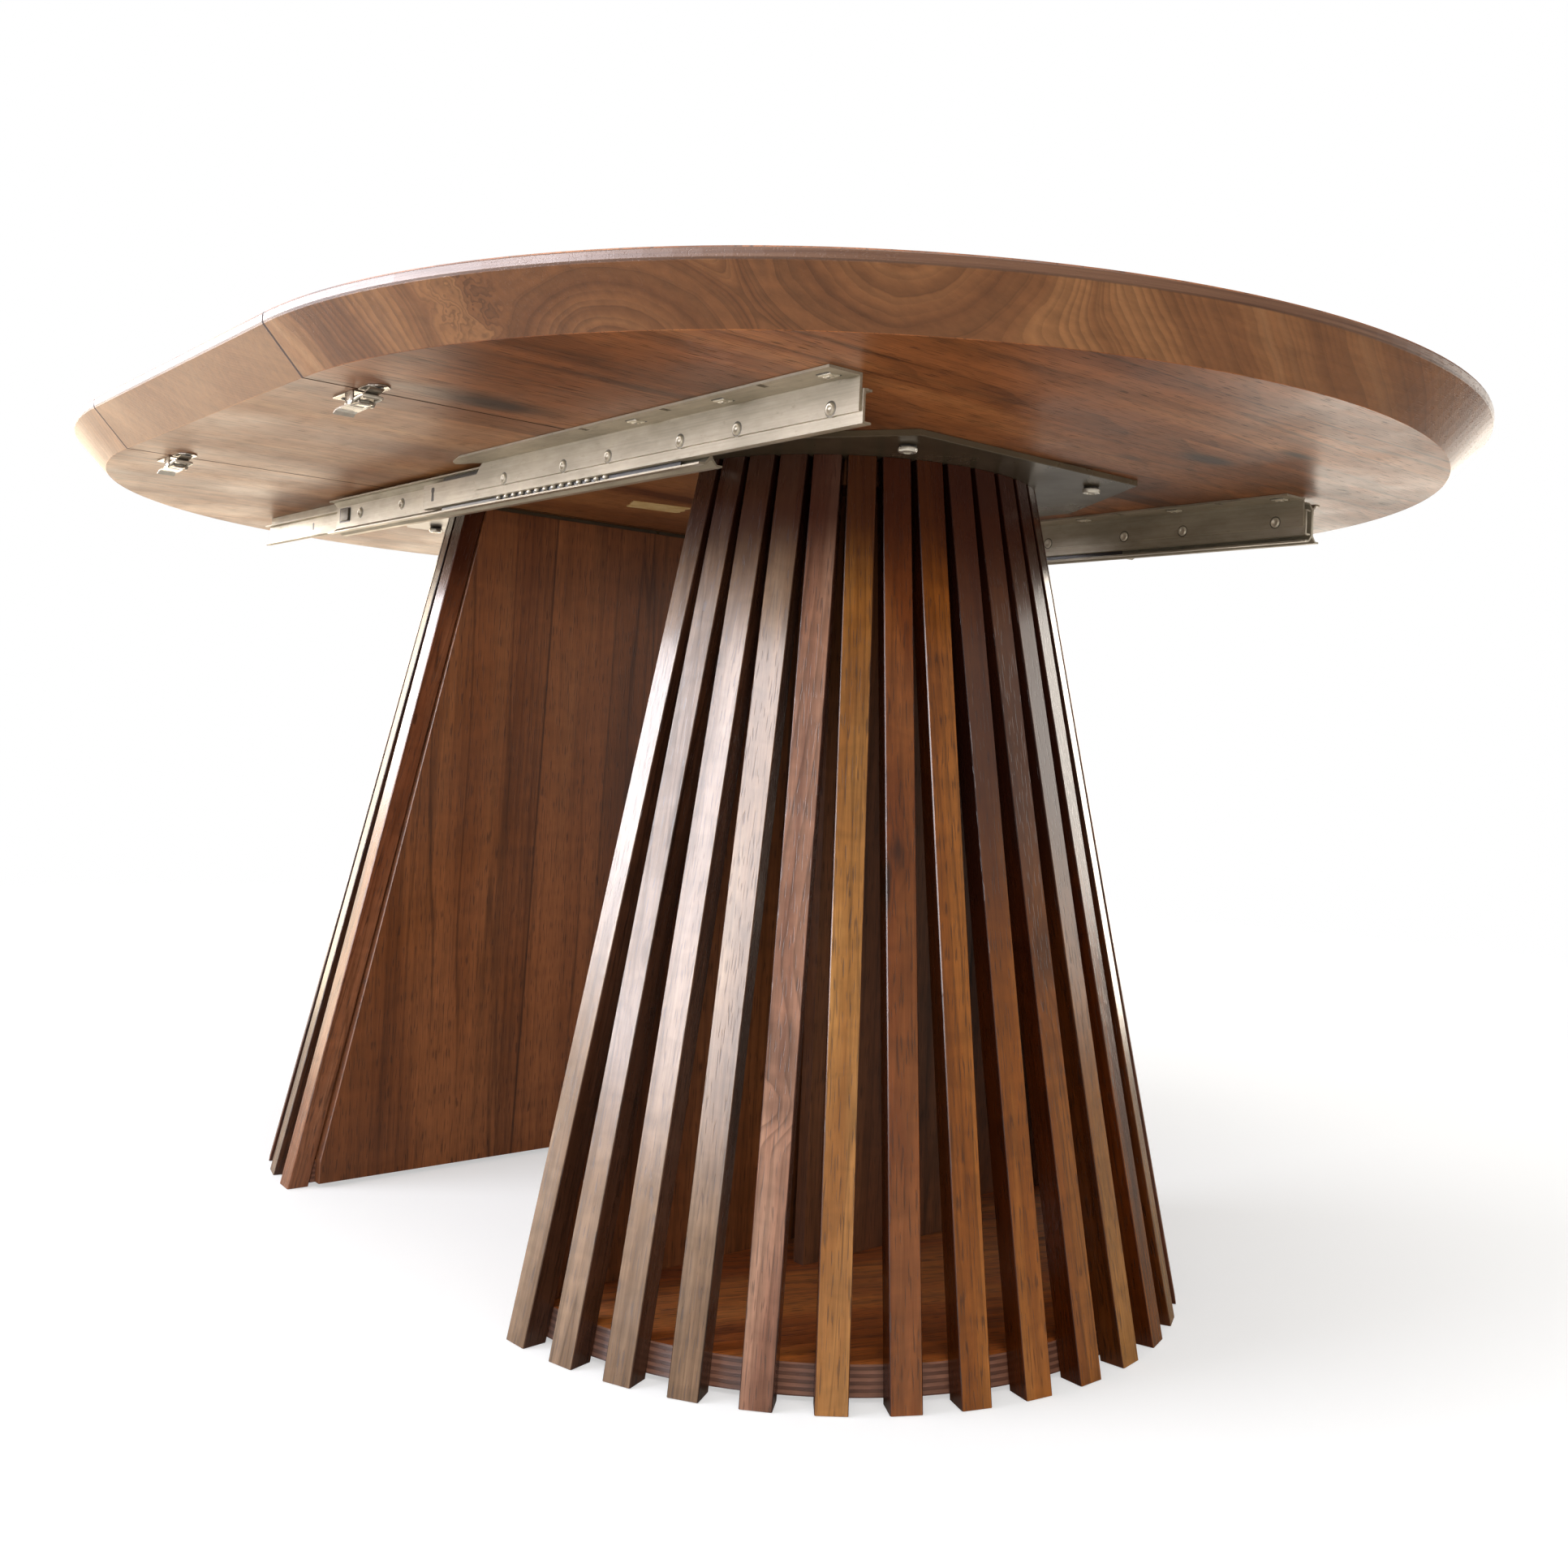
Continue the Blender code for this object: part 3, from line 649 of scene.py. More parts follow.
for word in ("near", "far"):
    dress(f"{word}_mounting_plate", PLATE_COAT)
    for hand in ("left", "right"):
        dress(f"{word}_rail_{hand}", ZINC)
        dress(f"{word}_latch_lever_{hand}", NICKEL_EDGE)
for hand in ("left", "right"):
    dress(f"middle_rail_{hand}", ZINC)


# ---------- pieces

def add_piece(name, bm, mat, body, sharp_degrees=32):
    """Make a finished piece of a bmesh, smooth except across its real edges."""
    bmesh.ops.recalc_face_normals(bm, faces=bm.faces)
    for face in bm.faces:
        face.smooth = True
    for edge in bm.edges:
        edge.smooth = edge.calc_face_angle(math.pi) < math.radians(sharp_degrees)
    mesh = bpy.data.meshes.new(name)
    bm.to_mesh(mesh)
    bm.free()
    mesh.materials.append(mat)
    piece = bpy.data.objects.new(name, mesh)
    bpy.context.scene.collection.objects.link(piece)
    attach(piece, body)


def frame_at(place, axis, toward=None):
    """A turn and place that carries local Z to an axis, and local X near a direction."""
    axis = Vector(axis).normalized()
    toward = Vector(toward) if toward is not None else (X if abs(axis.x) < 0.9 else Y)
    first = (toward - axis * axis.dot(toward)).normalized()
    turn = Matrix((first, axis.cross(first), axis)).transposed()
    return Matrix.Translation(place) @ turn.to_4x4()


def circle(steps):
    """The cosine and sine of even steps round a circle."""
    angles = [2 * math.pi * i / steps for i in range(steps)]
    return [(math.cos(angle), math.sin(angle)) for angle in angles]


def lathe(bm, profile, at, steps=24):
    """Turn (radius, height) points round a frame's Z; a radius of 0 closes the end."""
    rings = []
    for radius, height in profile:
        turns = circle(steps) if radius else [(0, 0)]
        rings.append([bm.verts.new(at @ Vector((radius * c, radius * s, height))) for c, s in turns])
    for low, high in zip(rings, rings[1:]):
        for i in range(steps):
            j = (i + 1) % steps
            corners = [low[i % len(low)], low[j % len(low)], high[j % len(high)], high[i % len(high)]]
            unique = list(dict.fromkeys(corners))
            if len(unique) > 2:
                bm.faces.new(unique)


def skin(bm, start, end):
    """The sides between two outlines of new points, and a cap on each. Returns the caps."""
    start, end = ([bm.verts.new(point) for point in ring] for ring in (start, end))
    count = len(start)
    for i in range(count):
        j = (i + 1) % count
        bm.faces.new((start[i], start[j], end[j], end[i]))
    return [bm.faces.new(ring) for ring in (start, end)]


def prism(bm, outline, low, high, at=Matrix.Identity(4), chamfer=0.0):
    """A flat outline drawn out along a frame's Z, with its rims chamfered."""
    caps = skin(bm, *([at @ Vector((x, y, z)) for x, y in outline] for z in (low, high)))
    if chamfer:
        rims = [edge for cap in caps for edge in cap.edges]
        bmesh.ops.bevel(bm, geom=rims, offset=chamfer, segments=2, profile=0.5, affect="EDGES")


def wire_loop(bm, points, radius, steps=10):
    """A round wire along a closed path of points."""
    rings = []
    side = None
    for i, point in enumerate(points):
        way = (points[(i + 1) % len(points)] - points[i - 1]).normalized()
        if side is None:
            side = way.orthogonal().normalized()
        side = (side - way * way.dot(side)).normalized()
        other = way.cross(side)
        rings.append([bm.verts.new(point + (side * c + other * s) * radius) for c, s in circle(steps)])
    for low, high in zip(rings, rings[1:] + rings[:1]):
        for k in range(steps):
            m = (k + 1) % steps
            bm.faces.new((low[k], low[m], high[m], high[k]))


def bend(last, here, after, radius, most, steps):
    """The points that round a path's corner. A bend takes up at most a part of each side."""
    to_last, to_next = last - here, after - here
    half = to_last.angle(to_next) / 2
    reach = min(radius / math.tan(half), most * to_last.length, most * to_next.length)
    start = here + to_last.normalized() * reach
    end = here + to_next.normalized() * reach
    for k in range(steps + 1):
        t = k / steps
        yield start * (1 - t) ** 2 + here * 2 * t * (1 - t) + end * t ** 2


def rounded(corners, radius, steps=3):
    """An outline with each corner rounded."""
    corners = [Vector(corner) for corner in corners]
    after = corners[1:] + corners[:1]
    return [tuple(point) for i, here in enumerate(corners)
            for point in bend(corners[i - 1], here, after[i], radius, 0.49, steps)]


def rounded_box(low_x, high_x, half_y, radius, steps=3):
    """A rounded rectangle that reaches as far to both sides."""
    return rounded(((low_x, -half_y), (high_x, -half_y), (high_x, half_y), (low_x, half_y)), radius, steps)


def sheet_outline(path, thickness, radius):
    """The closed section of a strip bent along a path of (a, b) points."""
    path = [Vector(point) for point in path]
    line = [path[0]]
    for last, here, after in zip(path, path[1:], path[2:]):
        line += bend(last, here, after, radius, 0.45, 4)
    line.append(path[-1])
    left, right = [], []
    for i, point in enumerate(line):
        way = (line[min(i + 1, len(line) - 1)] - line[max(i - 1, 0)]).normalized()
        normal = Vector((-way.y, way.x)) * thickness / 2
        left.append(tuple(point + normal))
        right.append(tuple(point - normal))
    return left + right[::-1]


def plate_bolt(name, x, y, body):
    """A socket-head bolt under the mounting plate. The black disc it clamps is partly a washer and partly
    painted shade for the gap under the head.
    """
    head_top = 0.0021
    at = frame_at((x, y, PLATE_BOTTOM), DOWN)
    bm = bmesh.new()
    lathe(bm, ((0, 0.0002), (0.0066, 0.0002), (0.007, 0.0007), (0.007, head_top - 0.0009),
               (0.0066, head_top - 0.0003), (0, head_top - 0.0003)), at)
    add_piece(name + "_washer_and_gap_shade", bm, BLACK_STEEL_AND_SHADE, body)
    bm = bmesh.new()
    profile = ((0, 0), (0.0072, 0), (0.0079, 0.0007), (0.0079, 0.0026), (0.0073, 0.0037), (0.0062, 0.0042),
               (0.0038, 0.0042), (0.0036, 0.0039), (0.0036, 0.0012), (0, 0.0006))
    lathe(bm, [(radius, head_top + drop) for radius, drop in profile], at, 36)
    add_piece(name + "_head", bm, NICKEL_EDGE, body)


def build_bolts():
    for word, side in HALVES:
        spots = ((0.412, -0.1135), (0.412, 0.1135), (0.244, -0.19), (0.244, 0.19))
        for number, (x, y) in enumerate(spots, 1):
            plate_bolt(f"{word}_plate_bolt_{number}", side * x, y, f"{word}_half")


# Runners: bracket face, and the shift of the end rails and of the floating middle rail
RUNNERS = (("left", -0.281, 0.0, 0.0), ("right", 0.287, -0.024, 0.158))
RAIL_DEPTH = 0.0275
RAIL_ENDS = {"near": 0.5405, "far": 0.567}
RIVET_LEVEL = 0.6976
RIVETS_FROM_END = (0.0285, 0.1315, 0.2025, 0.3033, 0.373, 0.4755)
CLINCHES_FROM_END = (0.0165, 0.1325, 0.2445)
FAR_HOLES = ((0.137, 0.0022, 0.0042), (0.032, 0.0012, 0.0036))  # from the end, half width, half height


def rail_place(side, y0, shift, along, across, z):
    """A place in an end rail: out along it, in from its outer face, and its level."""
    y = y0 + across if side > 0 else y0 + RAIL_DEPTH - across
    return Vector((side * along + shift, y, z))


def end_rails():
    """The four end rails, each as runner, half, side and the places in it."""
    for word, y0, shift, _ in RUNNERS:
        for half, side in HALVES:
            yield word, half, side, partial(rail_place, side, y0, shift)


def rivet(bm, at, size=0.0046):
    """A flared tubular rivet: a domed ring round a small hollow."""
    lathe(bm, ((size, -0.0002), (size, 0.0002), (size * 0.92, 0.001), (size * 0.76, 0.0015),
               (size * 0.56, 0.0013), (size * 0.42, 0.0006), (size * 0.3, 0.0003), (0, 0.0002)), at, 20)


def rivet_seat(bm, at, size=0.0058):
    """The shallow darker ring pressed round a rivet."""
    lathe(bm, ((size, 0.00002), (size * 0.95, 0.00012), (0, 0.00012)), at, 20)


def clinch(bm, at):
    """A stamped bridge in the flange."""
    prism(bm, rounded(((-0.007, -0.0044), (0.007, -0.0044), (0.0048, 0.0), (0.007, 0.0044),
                       (-0.007, 0.0044), (-0.0048, 0.0)), 0.001), -0.0002, 0.0011, at, 0.0005)
    prism(bm, rounded_box(-0.0034, 0.0034, 0.0024, 0.0008), 0.0009, 0.002, at, 0.0004)


def clinch_slits(bm, at):
    """The slits that the punch leaves beside a bridge, and a small mark on it, drawn as thin black
    patches: painted shade in the openings.
    """
    for side in (-1, 1):
        outline = ((-0.0074, side * 0.0046), (0.0074, side * 0.0046),
                   (0.006, side * 0.0064), (-0.006, side * 0.0064))
        prism(bm, outline[::side], -0.0001, 0.00012, at)
    prism(bm, ((-0.0016, -0.0008), (0.0016, -0.0008), (0.0016, 0.0008), (-0.0016, 0.0008)),
          0.0019, 0.00205, at)


def build_rail_marks():
    """The rivets, clinches, slits and holes of the end rails."""
    for word, half, side, place in end_rails():
        end, body = RAIL_ENDS[half], f"{half}_half"
        rivets, seats = bmesh.new(), bmesh.new()
        for back in RIVETS_FROM_END:
            at = frame_at(place(end - back, 0.0, RIVET_LEVEL), (0, -side, 0))
            rivet(rivets, at)
            rivet_seat(seats, at)
        add_piece(f"{half}_rail_rivets_{word}", rivets, ZINC_BRIGHT, body)
        add_piece(f"{half}_rail_rivet_seats_{word}", seats, ZINC_DARK, body)
        clinches, slits = bmesh.new(), bmesh.new()
        for back in CLINCHES_FROM_END:
            at = frame_at(place(end - back, -0.013, 0.7162), DOWN, X)
            clinch(clinches, at)
            clinch_slits(slits, at)
        add_piece(f"{half}_rail_clinches_{word}", clinches, ZINC_BRIGHT, body)
        # The far rails' holes are thin black patches: painted shade in the openings
        for back, half_width, half_height in FAR_HOLES if side < 0 else ():
            at = frame_at(place(end - back, 0.0038, 0.697), (0, side, 0), Z)
            hole = rounded_box(-half_height, half_height, half_width, half_width * 0.9, 4)
            prism(slits, hole, -0.0001, 0.00012, at)
        add_piece(f"{half}_rail_slits_{word}", slits, BLACK_STEEL_AND_SHADE, body)


CHANNEL_ENDS = {"near": (-0.0998, 0.5423), "far": (-0.0798, 0.5668)}
CHANNEL_LIPS = (("lower", 0.6843, 1), ("upper", 0.708, -1))  # edge level, and 1 below or -1 above
LIP_PATH = ((0.0029, 0.0062), (0.0027, 0.0022), (0.004, 0.0004), (0.006, 0.0003), (0.0076, 0.0014),
            (0.009, 0.0006))


def build_races():
    """The rolled lips of the four fixed channels, in which the balls run."""
    for word, half, _, place in end_rails():
        for level, edge, turn in CHANNEL_LIPS:
            section = sheet_outline([(across, edge + turn * rise) for across, rise in LIP_PATH],
                                    0.0012, 0.002)
            bm = bmesh.new()
            skin(bm, *([place(along, *point) for point in section] for along in CHANNEL_ENDS[half]))
            add_piece(f"{half}_race_{word}_{level}", bm, ZINC, f"{half}_half", sharp_degrees=50)


BALL_RADIUS = 0.0025
BALL_COUNT = 14
BALL_PITCH = 0.0138
FIRST_BALL = {"near": 0.046, "far": 0.085}
BALL_LEVELS = (("lower", 0.6832), ("upper", 0.7092))
CAGE_MIDDLE = 0.13
CAGE_AND_SHADE_HALF = 0.2


def build_ball_rows():
    """Balls in their pressed retainers, one row in each race. Each retainer is a black strip that runs far
    past its balls: partly the retainer, partly painted shade for the dark gap between the rails.
    """
    for word, half, side, place in end_rails():
        body = f"{half}_half"
        for level, z in BALL_LEVELS:
            balls, cage_and_gap_shade = bmesh.new(), bmesh.new()
            for i in range(BALL_COUNT):
                centre = place(FIRST_BALL[half] + i * BALL_PITCH, 0.0062, z)
                bmesh.ops.create_icosphere(balls, subdivisions=2, radius=BALL_RADIUS,
                                           matrix=Matrix.Translation(centre))
            # The black strip reaches far past the balls: painted shade in the gap between the members
            at = frame_at(place(CAGE_MIDDLE, 0.0078, z), (0, -side, 0), X)
            prism(cage_and_gap_shade, rounded_box(-CAGE_AND_SHADE_HALF, CAGE_AND_SHADE_HALF, 0.0036, 0.002, 4), -0.0004, 0.0004, at, 0.00012)
            add_piece(f"{half}_balls_{word}_{level}", balls, NICKEL_EDGE, body, sharp_degrees=60)
            add_piece(f"{half}_ball_cage_{word}_{level}", cage_and_gap_shade, BLACK_STEEL_AND_SHADE, body)


KEYHOLE = ((-0.0066, -0.0026), (0.0012, -0.002), (0.0034, -0.0034), (0.0066, -0.0026),
           (0.0066, 0.0026), (0.0034, 0.0034), (0.0012, 0.002), (-0.0066, 0.0026))
KEYHOLE_PLACE = {"near": -0.08, "far": -0.06}


def build_middle_marks():
    """Rivets, end windows and stops on the floating rails, and the keyholes of the channels."""
    for word, y0, shift, middle_shift in RUNNERS:
        body = f"middle_rail_{word}"
        face = y0 + 0.01225
        rivets, seats = bmesh.new(), bmesh.new()
        for x in (-0.2715, -0.17, 0.12, 0.3):
            for front, turn in ((face, -1), (face + 0.003, 1)):
                at = frame_at((x + middle_shift, front, 0.698), (0, turn, 0))
                rivet(rivets, at @ Matrix.Diagonal((1, 1, 1.6, 1)))
                rivet_seat(seats, at, 0.006)
        add_piece(f"middle_rivets_{word}", rivets, ZINC_BRIGHT, body)
        add_piece(f"middle_rivet_seats_{word}", seats, ZINC_DARK, body)
        # Each end window is a thin black patch, painted shade in the opening, with its stop tab over it
        for number, x in enumerate((-0.313, 0.338), 1):
            window, tab = bmesh.new(), bmesh.new()
            at = frame_at((x + middle_shift, face, 0.6987), (0, -1, 0), X)
            prism(window, rounded_box(-0.0138, 0.0138, 0.008, 0.0012), -0.0001, 0.0003, at)
            prism(tab, rounded_box(-0.007, 0.012, 0.0066, 0.001), 0.0001, 0.0024, at, 0.0004)
            add_piece(f"middle_window_{word}_{number}", window, BLACK_STEEL_AND_SHADE, body)
            add_piece(f"middle_stop_{word}_{number}", tab, ZINC_DARK, body)
        # The channels' keyholes are thin black patches: painted shade in the openings
        for half, side in HALVES:
            bm = bmesh.new()
            place = rail_place(side, y0, shift, KEYHOLE_PLACE[half], 0.002, 0.6975)
            prism(bm, rounded(KEYHOLE, 0.0009), -0.0002, 0.00015, frame_at(place, (0, -side, 0), Z))
            add_piece(f"{half}_keyhole_{word}", bm, BLACK_STEEL_AND_SHADE, f"{half}_half")


def countersunk_screw(bm, at, size=0.0034):
    """A countersunk screw head, with a shallow dip at its centre, set flush in a plate."""
    lathe(bm, ((size, -0.0002), (size, 0.0001), (size * 0.86, 0.0004), (size * 0.45, 0.00045),
               (size * 0.36, 0.0001), (size * 0.16, -0.0003), (0, -0.0004)), at, 18)


def build_latch(name, seam_x, y, base_body, keeper_body):
    """A draw latch: base with two ears, yoke and wire bail on one side of a seam, keeper on the other.

    In its frame x is the row's x, and z points down from the table's underside."""
    flip = Matrix.Translation((seam_x, y, UNDERSIDE - 0.0001)) @ Matrix.Rotation(math.pi, 4, "X")
    sideways = Matrix.Rotation(math.pi / 2, 4, "X")

    bm = bmesh.new()
    prism(bm, rounded(((-0.044, -0.007), (-0.04, -0.009), (-0.0035, -0.009), (-0.0035, 0.009),
                       (-0.04, 0.009), (-0.044, 0.007)), 0.0022, 4), 0.0, 0.0012, flip, 0.0003)
    for ear in (-0.0091, 0.0081):
        at = flip @ Matrix.Translation((0, ear, 0)) @ sideways @ Matrix.Scale(-1, 4, Z)
        prism(bm, rounded(((-0.02, 0.0004), (-0.0025, 0.0004), (-0.0025, 0.007), (-0.005, 0.0106),
                           (-0.0105, 0.0106)), 0.0022, 4), 0.0, 0.001, at, 0.00025)
    add_piece(name + "_base", bm, NICKEL, base_body)

    bm = bmesh.new()
    for x in (-0.0375, -0.0255):
        countersunk_screw(bm, flip @ Matrix.Translation((x, 0, 0.0012)))
    add_piece(name + "_base_screws", bm, BLACK_STEEL_AND_SHADE, base_body)

    # The bail: a closed wire loop from the lever's underside to the keeper's hook
    bm = bmesh.new()
    lever_end, hook_end = -0.0235, 0.0118
    loop = rounded(((lever_end, -0.0062), (hook_end, -0.0082), (hook_end, 0.0082), (lever_end, 0.0062)),
                   0.0026, 5)
    points = []
    for x, across in loop:
        drop = 0.0088 - 0.0026 * max(0.0, min(1.0, (x - lever_end) / 0.035))
        points.append(flip @ Vector((x, across, drop)))
    wire_loop(bm, points, 0.0012)
    add_piece(name + "_bail", bm, NICKEL_EDGE, base_body)

    # The stamped yoke that draws the bail: a small folded channel with a pin through it
    bm = bmesh.new()
    section = sheet_outline(((-0.0056, 0.004), (-0.0056, 0.01), (0.0056, 0.01), (0.0056, 0.004)),
                            0.001, 0.0012)
    at = flip @ Matrix(((0, 0, 1, 0), (1, 0, 0, 0), (0, 1, 0, 0), (0, 0, 0, 1)))
    prism(bm, section, -0.015, 0.002, at)
    lathe(bm, ((0, -0.0092), (0.0017, -0.0092), (0.002, -0.0088), (0.002, 0.0088), (0.0017, 0.0092),
               (0, 0.0092)), flip @ Matrix.Translation((-0.0148, 0, 0.0072)) @ sideways, 14)
    add_piece(name + "_yoke", bm, NICKEL, base_body)
    # The yoke's two windows are thin black patches: painted shade in the openings
    bm = bmesh.new()
    for low, high in ((-0.014, -0.0102), (-0.0033, 0.0008)):
        prism(bm, rounded_box(low, high, 0.004, 0.0009), 0.0104, 0.01065, flip)
    add_piece(name + "_yoke_windows", bm, BLACK_STEEL_AND_SHADE, base_body)

    bm = bmesh.new()
    prism(bm, rounded(((0.003, -0.0085), (0.0235, -0.0085), (0.03, -0.003), (0.03, 0.003),
                       (0.0235, 0.0085), (0.003, 0.0085)), 0.0022, 4), 0.0, 0.0012, flip, 0.0003)
    hook = sheet_outline(((0.0195, 0.0008), (0.0125, 0.003), (0.0085, 0.004), (0.007, 0.0062),
                          (0.0095, 0.0072)), 0.0012, 0.002)
    at = flip @ Matrix(((1, 0, 0, 0), (0, 0, 1, 0), (0, 1, 0, 0), (0, 0, 0, 1)))
    prism(bm, hook, -0.0055, 0.0055, at)
    add_piece(name + "_keeper", bm, NICKEL, keeper_body)

    bm = bmesh.new()
    countersunk_screw(bm, flip @ Matrix.Translation((0.0235, 0, 0.0012)), 0.003)
    add_piece(name + "_keeper_screw", bm, BLACK_STEEL_AND_SHADE, keeper_body)


def build_latches():
    for hand, y in (("left", -LATCH_Y), ("right", LATCH_Y)):
        build_latch(f"near_latch_{hand}", HALF_LEAF, y, "leaf", "near_half")
        build_latch(f"far_latch_{hand}", -HALF_LEAF, y, "far_half", "leaf")


def build_tape():
    """A strip of blank paper tape on the leaf's underside, torn at both ends."""
    draw = random.Random(7)
    corners = [Vector(c) for c in ((-0.09, -0.049), (-0.05, -0.066), (-0.037, -0.0015), (-0.08, 0.009))]
    way = (corners[2] - corners[1]).normalized()
    outline = []
    for start, end in (corners[:2], corners[2:]):
        for i in range(11):
            outline.append(tuple(start.lerp(end, i / 10) + way * draw.uniform(-0.0022, 0.0022)))
    bm = bmesh.new()
    prism(bm, outline, UNDERSIDE - 0.00035, UNDERSIDE - 0.00005)
    add_piece("leaf_tape", bm, TAPE, "leaf")


BATTEN_LEVELS = (0.0262, 0.69)
BATTEN_THICKNESS = 0.012


def build_battens():
    """Glued battens inside each pedestal, where the panel meets the end slats."""
    for word, side in HALVES:
        for hand, turn in (("left", -1), ("right", 1)):
            rings = []
            for z in BATTEN_LEVELS:
                edge = CONE_RADIUS - 0.021 - CONE_TAPER * z - 0.0009
                inner = edge - BATTEN_THICKNESS
                corners = ((0.2242, edge), (0.2342, edge), (0.2342, inner), (0.2242, inner))
                rings.append([(side * x, turn * y, z) for x, y in corners])
            bm = bmesh.new()
            skin(bm, *rings)
            mat = walnut_board(f"batten_{word}_{hand}", Z, Y, (0, 0, 0), 7.7 + turn + side * 0.3,
                               DARK_TONES[:3], gloss=(0.5, 0.6))
            add_piece(f"{word}_batten_{hand}", bm, mat, f"{word}_half")


build_battens()
build_bolts()
build_rail_marks()
build_races()
build_ball_rows()
build_middle_marks()
build_latches()
build_tape()


# ---------- floor, light, camera

FLOOR_SEEN = (0.56, 0.575, 0.6, 1.0)
FLOOR_LIFT = 0.5
FLOOR_BOUNCE = (0.42, 0.4, 0.37, 1.0)
FLOOR_FADE = (1.3, 3.2)


def floor_material():
    """White studio paper: it takes the table's shadow, sends back less light than it
    shows, and melts into the backdrop away from the table."""
    tree = Tree("floor_white")
    cloud = tree.noise(tree.place, 1.5, 2.0)
    seen = tree.tint(FLOOR_SEEN, tree.ramp(cloud, (0.3, 0.985), (0.7, 1.0)))
    tree.finish(seen, 0.9, Specular_IOR_Level=0.0, Emission_Color=(1, 1, 1, 1),
                Emission_Strength=FLOOR_LIFT)
    bounce = tree.node("ShaderNodeBsdfDiffuse", FLOOR_BOUNCE)
    clear = tree.nodes.new("ShaderNodeBsdfTransparent")
    path = tree.nodes.new("ShaderNodeLightPath")
    paper = tree.node("ShaderNodeMixShader", path.outputs["Is Camera Ray"], bounce.outputs[0],
                      tree.shader.outputs[0])
    away = tree.between(tree.length(tree.place), *FLOOR_FADE)
    fade = tree.node("ShaderNodeMixShader", away, paper.outputs[0], clear.outputs[0])
    tree.links.new(fade.outputs[0], tree.nodes["Material Output"].inputs["Surface"])
    return tree.mat


def build_floor():
    bm = bmesh.new()
    bmesh.ops.create_grid(bm, x_segments=1, y_segments=1, size=4.0)
    mesh = bpy.data.meshes.new("floor")
    bm.to_mesh(mesh)
    bm.free()
    mesh.materials.append(floor_material())
    floor = bpy.data.objects.new("floor", mesh)
    floor.location = (0, 0, -0.0005)
    bpy.context.scene.collection.objects.link(floor)


def area_light(name, place, aim, width, height, watts, colour, diffuse=True, glossy=True):
    """A soft box the camera doesn't see. It may give only diffuse light, or only a reflection."""
    light = bpy.data.lights.new(name, "AREA")
    light.shape = "RECTANGLE"
    light.size = width
    light.size_y = height
    light.energy = watts
    light.color = colour
    thing = bpy.data.objects.new(name, light)
    thing.location = place
    thing.rotation_euler = (Vector(aim) - Vector(place)).to_track_quat("-Z", "Y").to_euler()
    thing.visible_camera = False
    thing.visible_diffuse = diffuse
    thing.visible_glossy = glossy
    bpy.context.scene.collection.objects.link(thing)


def build_world():
    """A white backdrop for the camera, and a dim warm room for everything else."""
    world = bpy.data.worlds.new("studio")
    world.use_nodes = True
    nodes, links = world.node_tree.nodes, world.node_tree.links
    room, paper = nodes["Background"], nodes.new("ShaderNodeBackground")
    for background, colour, strength in ((room, (1.0, 0.96, 0.9, 1.0), 0.38),
                                         (paper, (1.0, 1.0, 1.0, 1.0), 1.0)):
        background.inputs["Color"].default_value = colour
        background.inputs["Strength"].default_value = strength
    path = nodes.new("ShaderNodeLightPath")
    choose = nodes.new("ShaderNodeMixShader")
    links.new(path.outputs["Is Camera Ray"], choose.inputs[0])
    links.new(room.outputs[0], choose.inputs[1])
    links.new(paper.outputs[0], choose.inputs[2])
    links.new(choose.outputs[0], nodes["World Output"].inputs["Surface"])
    bpy.context.scene.world = world


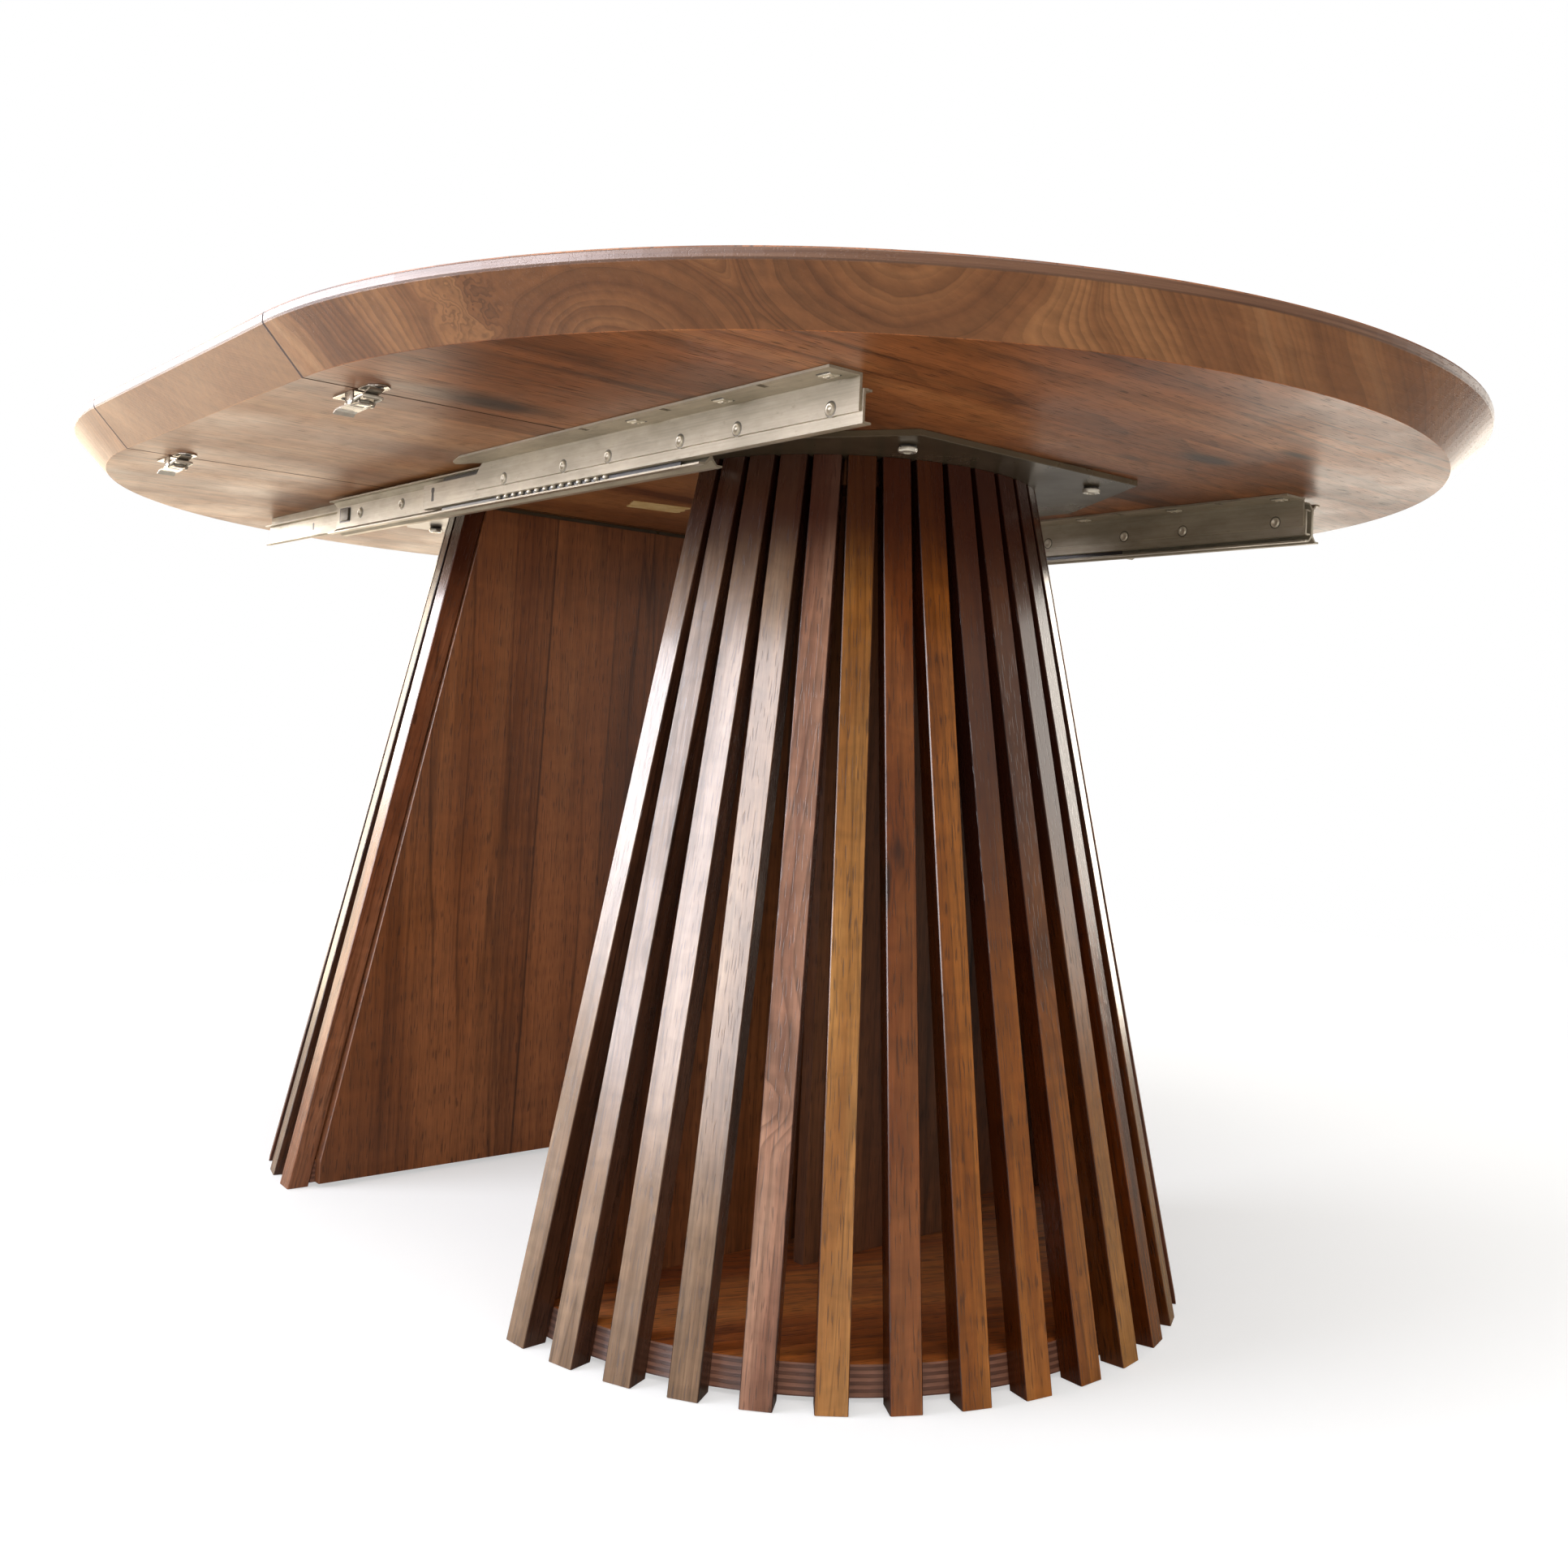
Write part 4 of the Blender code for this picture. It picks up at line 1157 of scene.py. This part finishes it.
def build_light():
    """A window at the left, its glow on the other walls, and the reflections of both."""
    window, near_cone, leaf = (-1.05, -2.7, 1.45), (0.25, -0.3, 0.45), (-0.3, 0.0, 0.5)
    area_light("window", window, near_cone, 2.0, 1.7, 92, (0.95, 0.96, 1.0), glossy=False)
    area_light("window_shine", window, near_cone, 2.2, 1.9, 440, (0.95, 0.93, 1.0), diffuse=False)
    area_light("side_window_shine", (0.62, -3.0, 1.4), near_cone, 1.4, 1.7, 88, (0.95, 0.94, 1.0),
               diffuse=False)
    area_light("left_wall", (-4.0, -0.1, 0.4), leaf, 5.0, 1.7, 92, (1.0, 0.83, 0.62))
    area_light("left_shine", (-3.3, -2.0, 1.55), (0.1, -0.5, 0.7), 2.6, 1.5, 125, (0.96, 0.95, 1.0),
               diffuse=False)
    area_light("right_shine", (0.75, 3.4, 1.05), (0.5, 0.2, 0.45), 3.1, 1.3, 36, (1.0, 0.95, 0.87),
               diffuse=False)
    area_light("right_wall", (-0.7, 3.4, 0.6), (0.3, 0.2, 0.5), 1.6, 1.4, 34, (1.0, 0.9, 0.76))
    area_light("ceiling", (0.8, -0.6, 3.4), (0.1, 0, 0.4), 3.0, 3.0, 85, (1.0, 0.97, 0.92))
    area_light("fill", (2.6, -1.6, 0.25), (0.3, 0, 0.15), 2.6, 0.7, 50, (1.0, 0.9, 0.76), glossy=False)


def build_camera():
    """The view from below the rim's level, looking slightly up."""
    azimuth, elevation, roll = 0.8669139, -0.0409623, 0.0466158
    back = Vector((math.sin(azimuth) * math.cos(elevation),
                   -math.cos(azimuth) * math.cos(elevation), math.sin(elevation)))
    right = Vector((math.cos(azimuth), math.sin(azimuth), 0))
    up = back.cross(right)
    rolled_right = right * math.cos(roll) + up * math.sin(roll)
    rolled_up = up * math.cos(roll) - right * math.sin(roll)
    turn = Matrix((rolled_right, rolled_up, back)).transposed().to_4x4()
    data = bpy.data.cameras.new("camera")
    data.sensor_width = 36.0
    data.lens = 34.289609
    data.shift_x = -0.0201251
    data.shift_y = -0.0662127
    data.clip_start = 0.01
    camera = bpy.data.objects.new("camera", data)
    camera.matrix_world = Matrix.Translation((1.2665891, -0.9235924, 0.4752262)) @ turn
    bpy.context.scene.collection.objects.link(camera)
    bpy.context.scene.camera = camera


build_floor()
build_world()
build_light()
build_camera()
bpy.context.scene.view_settings.view_transform = "Standard"
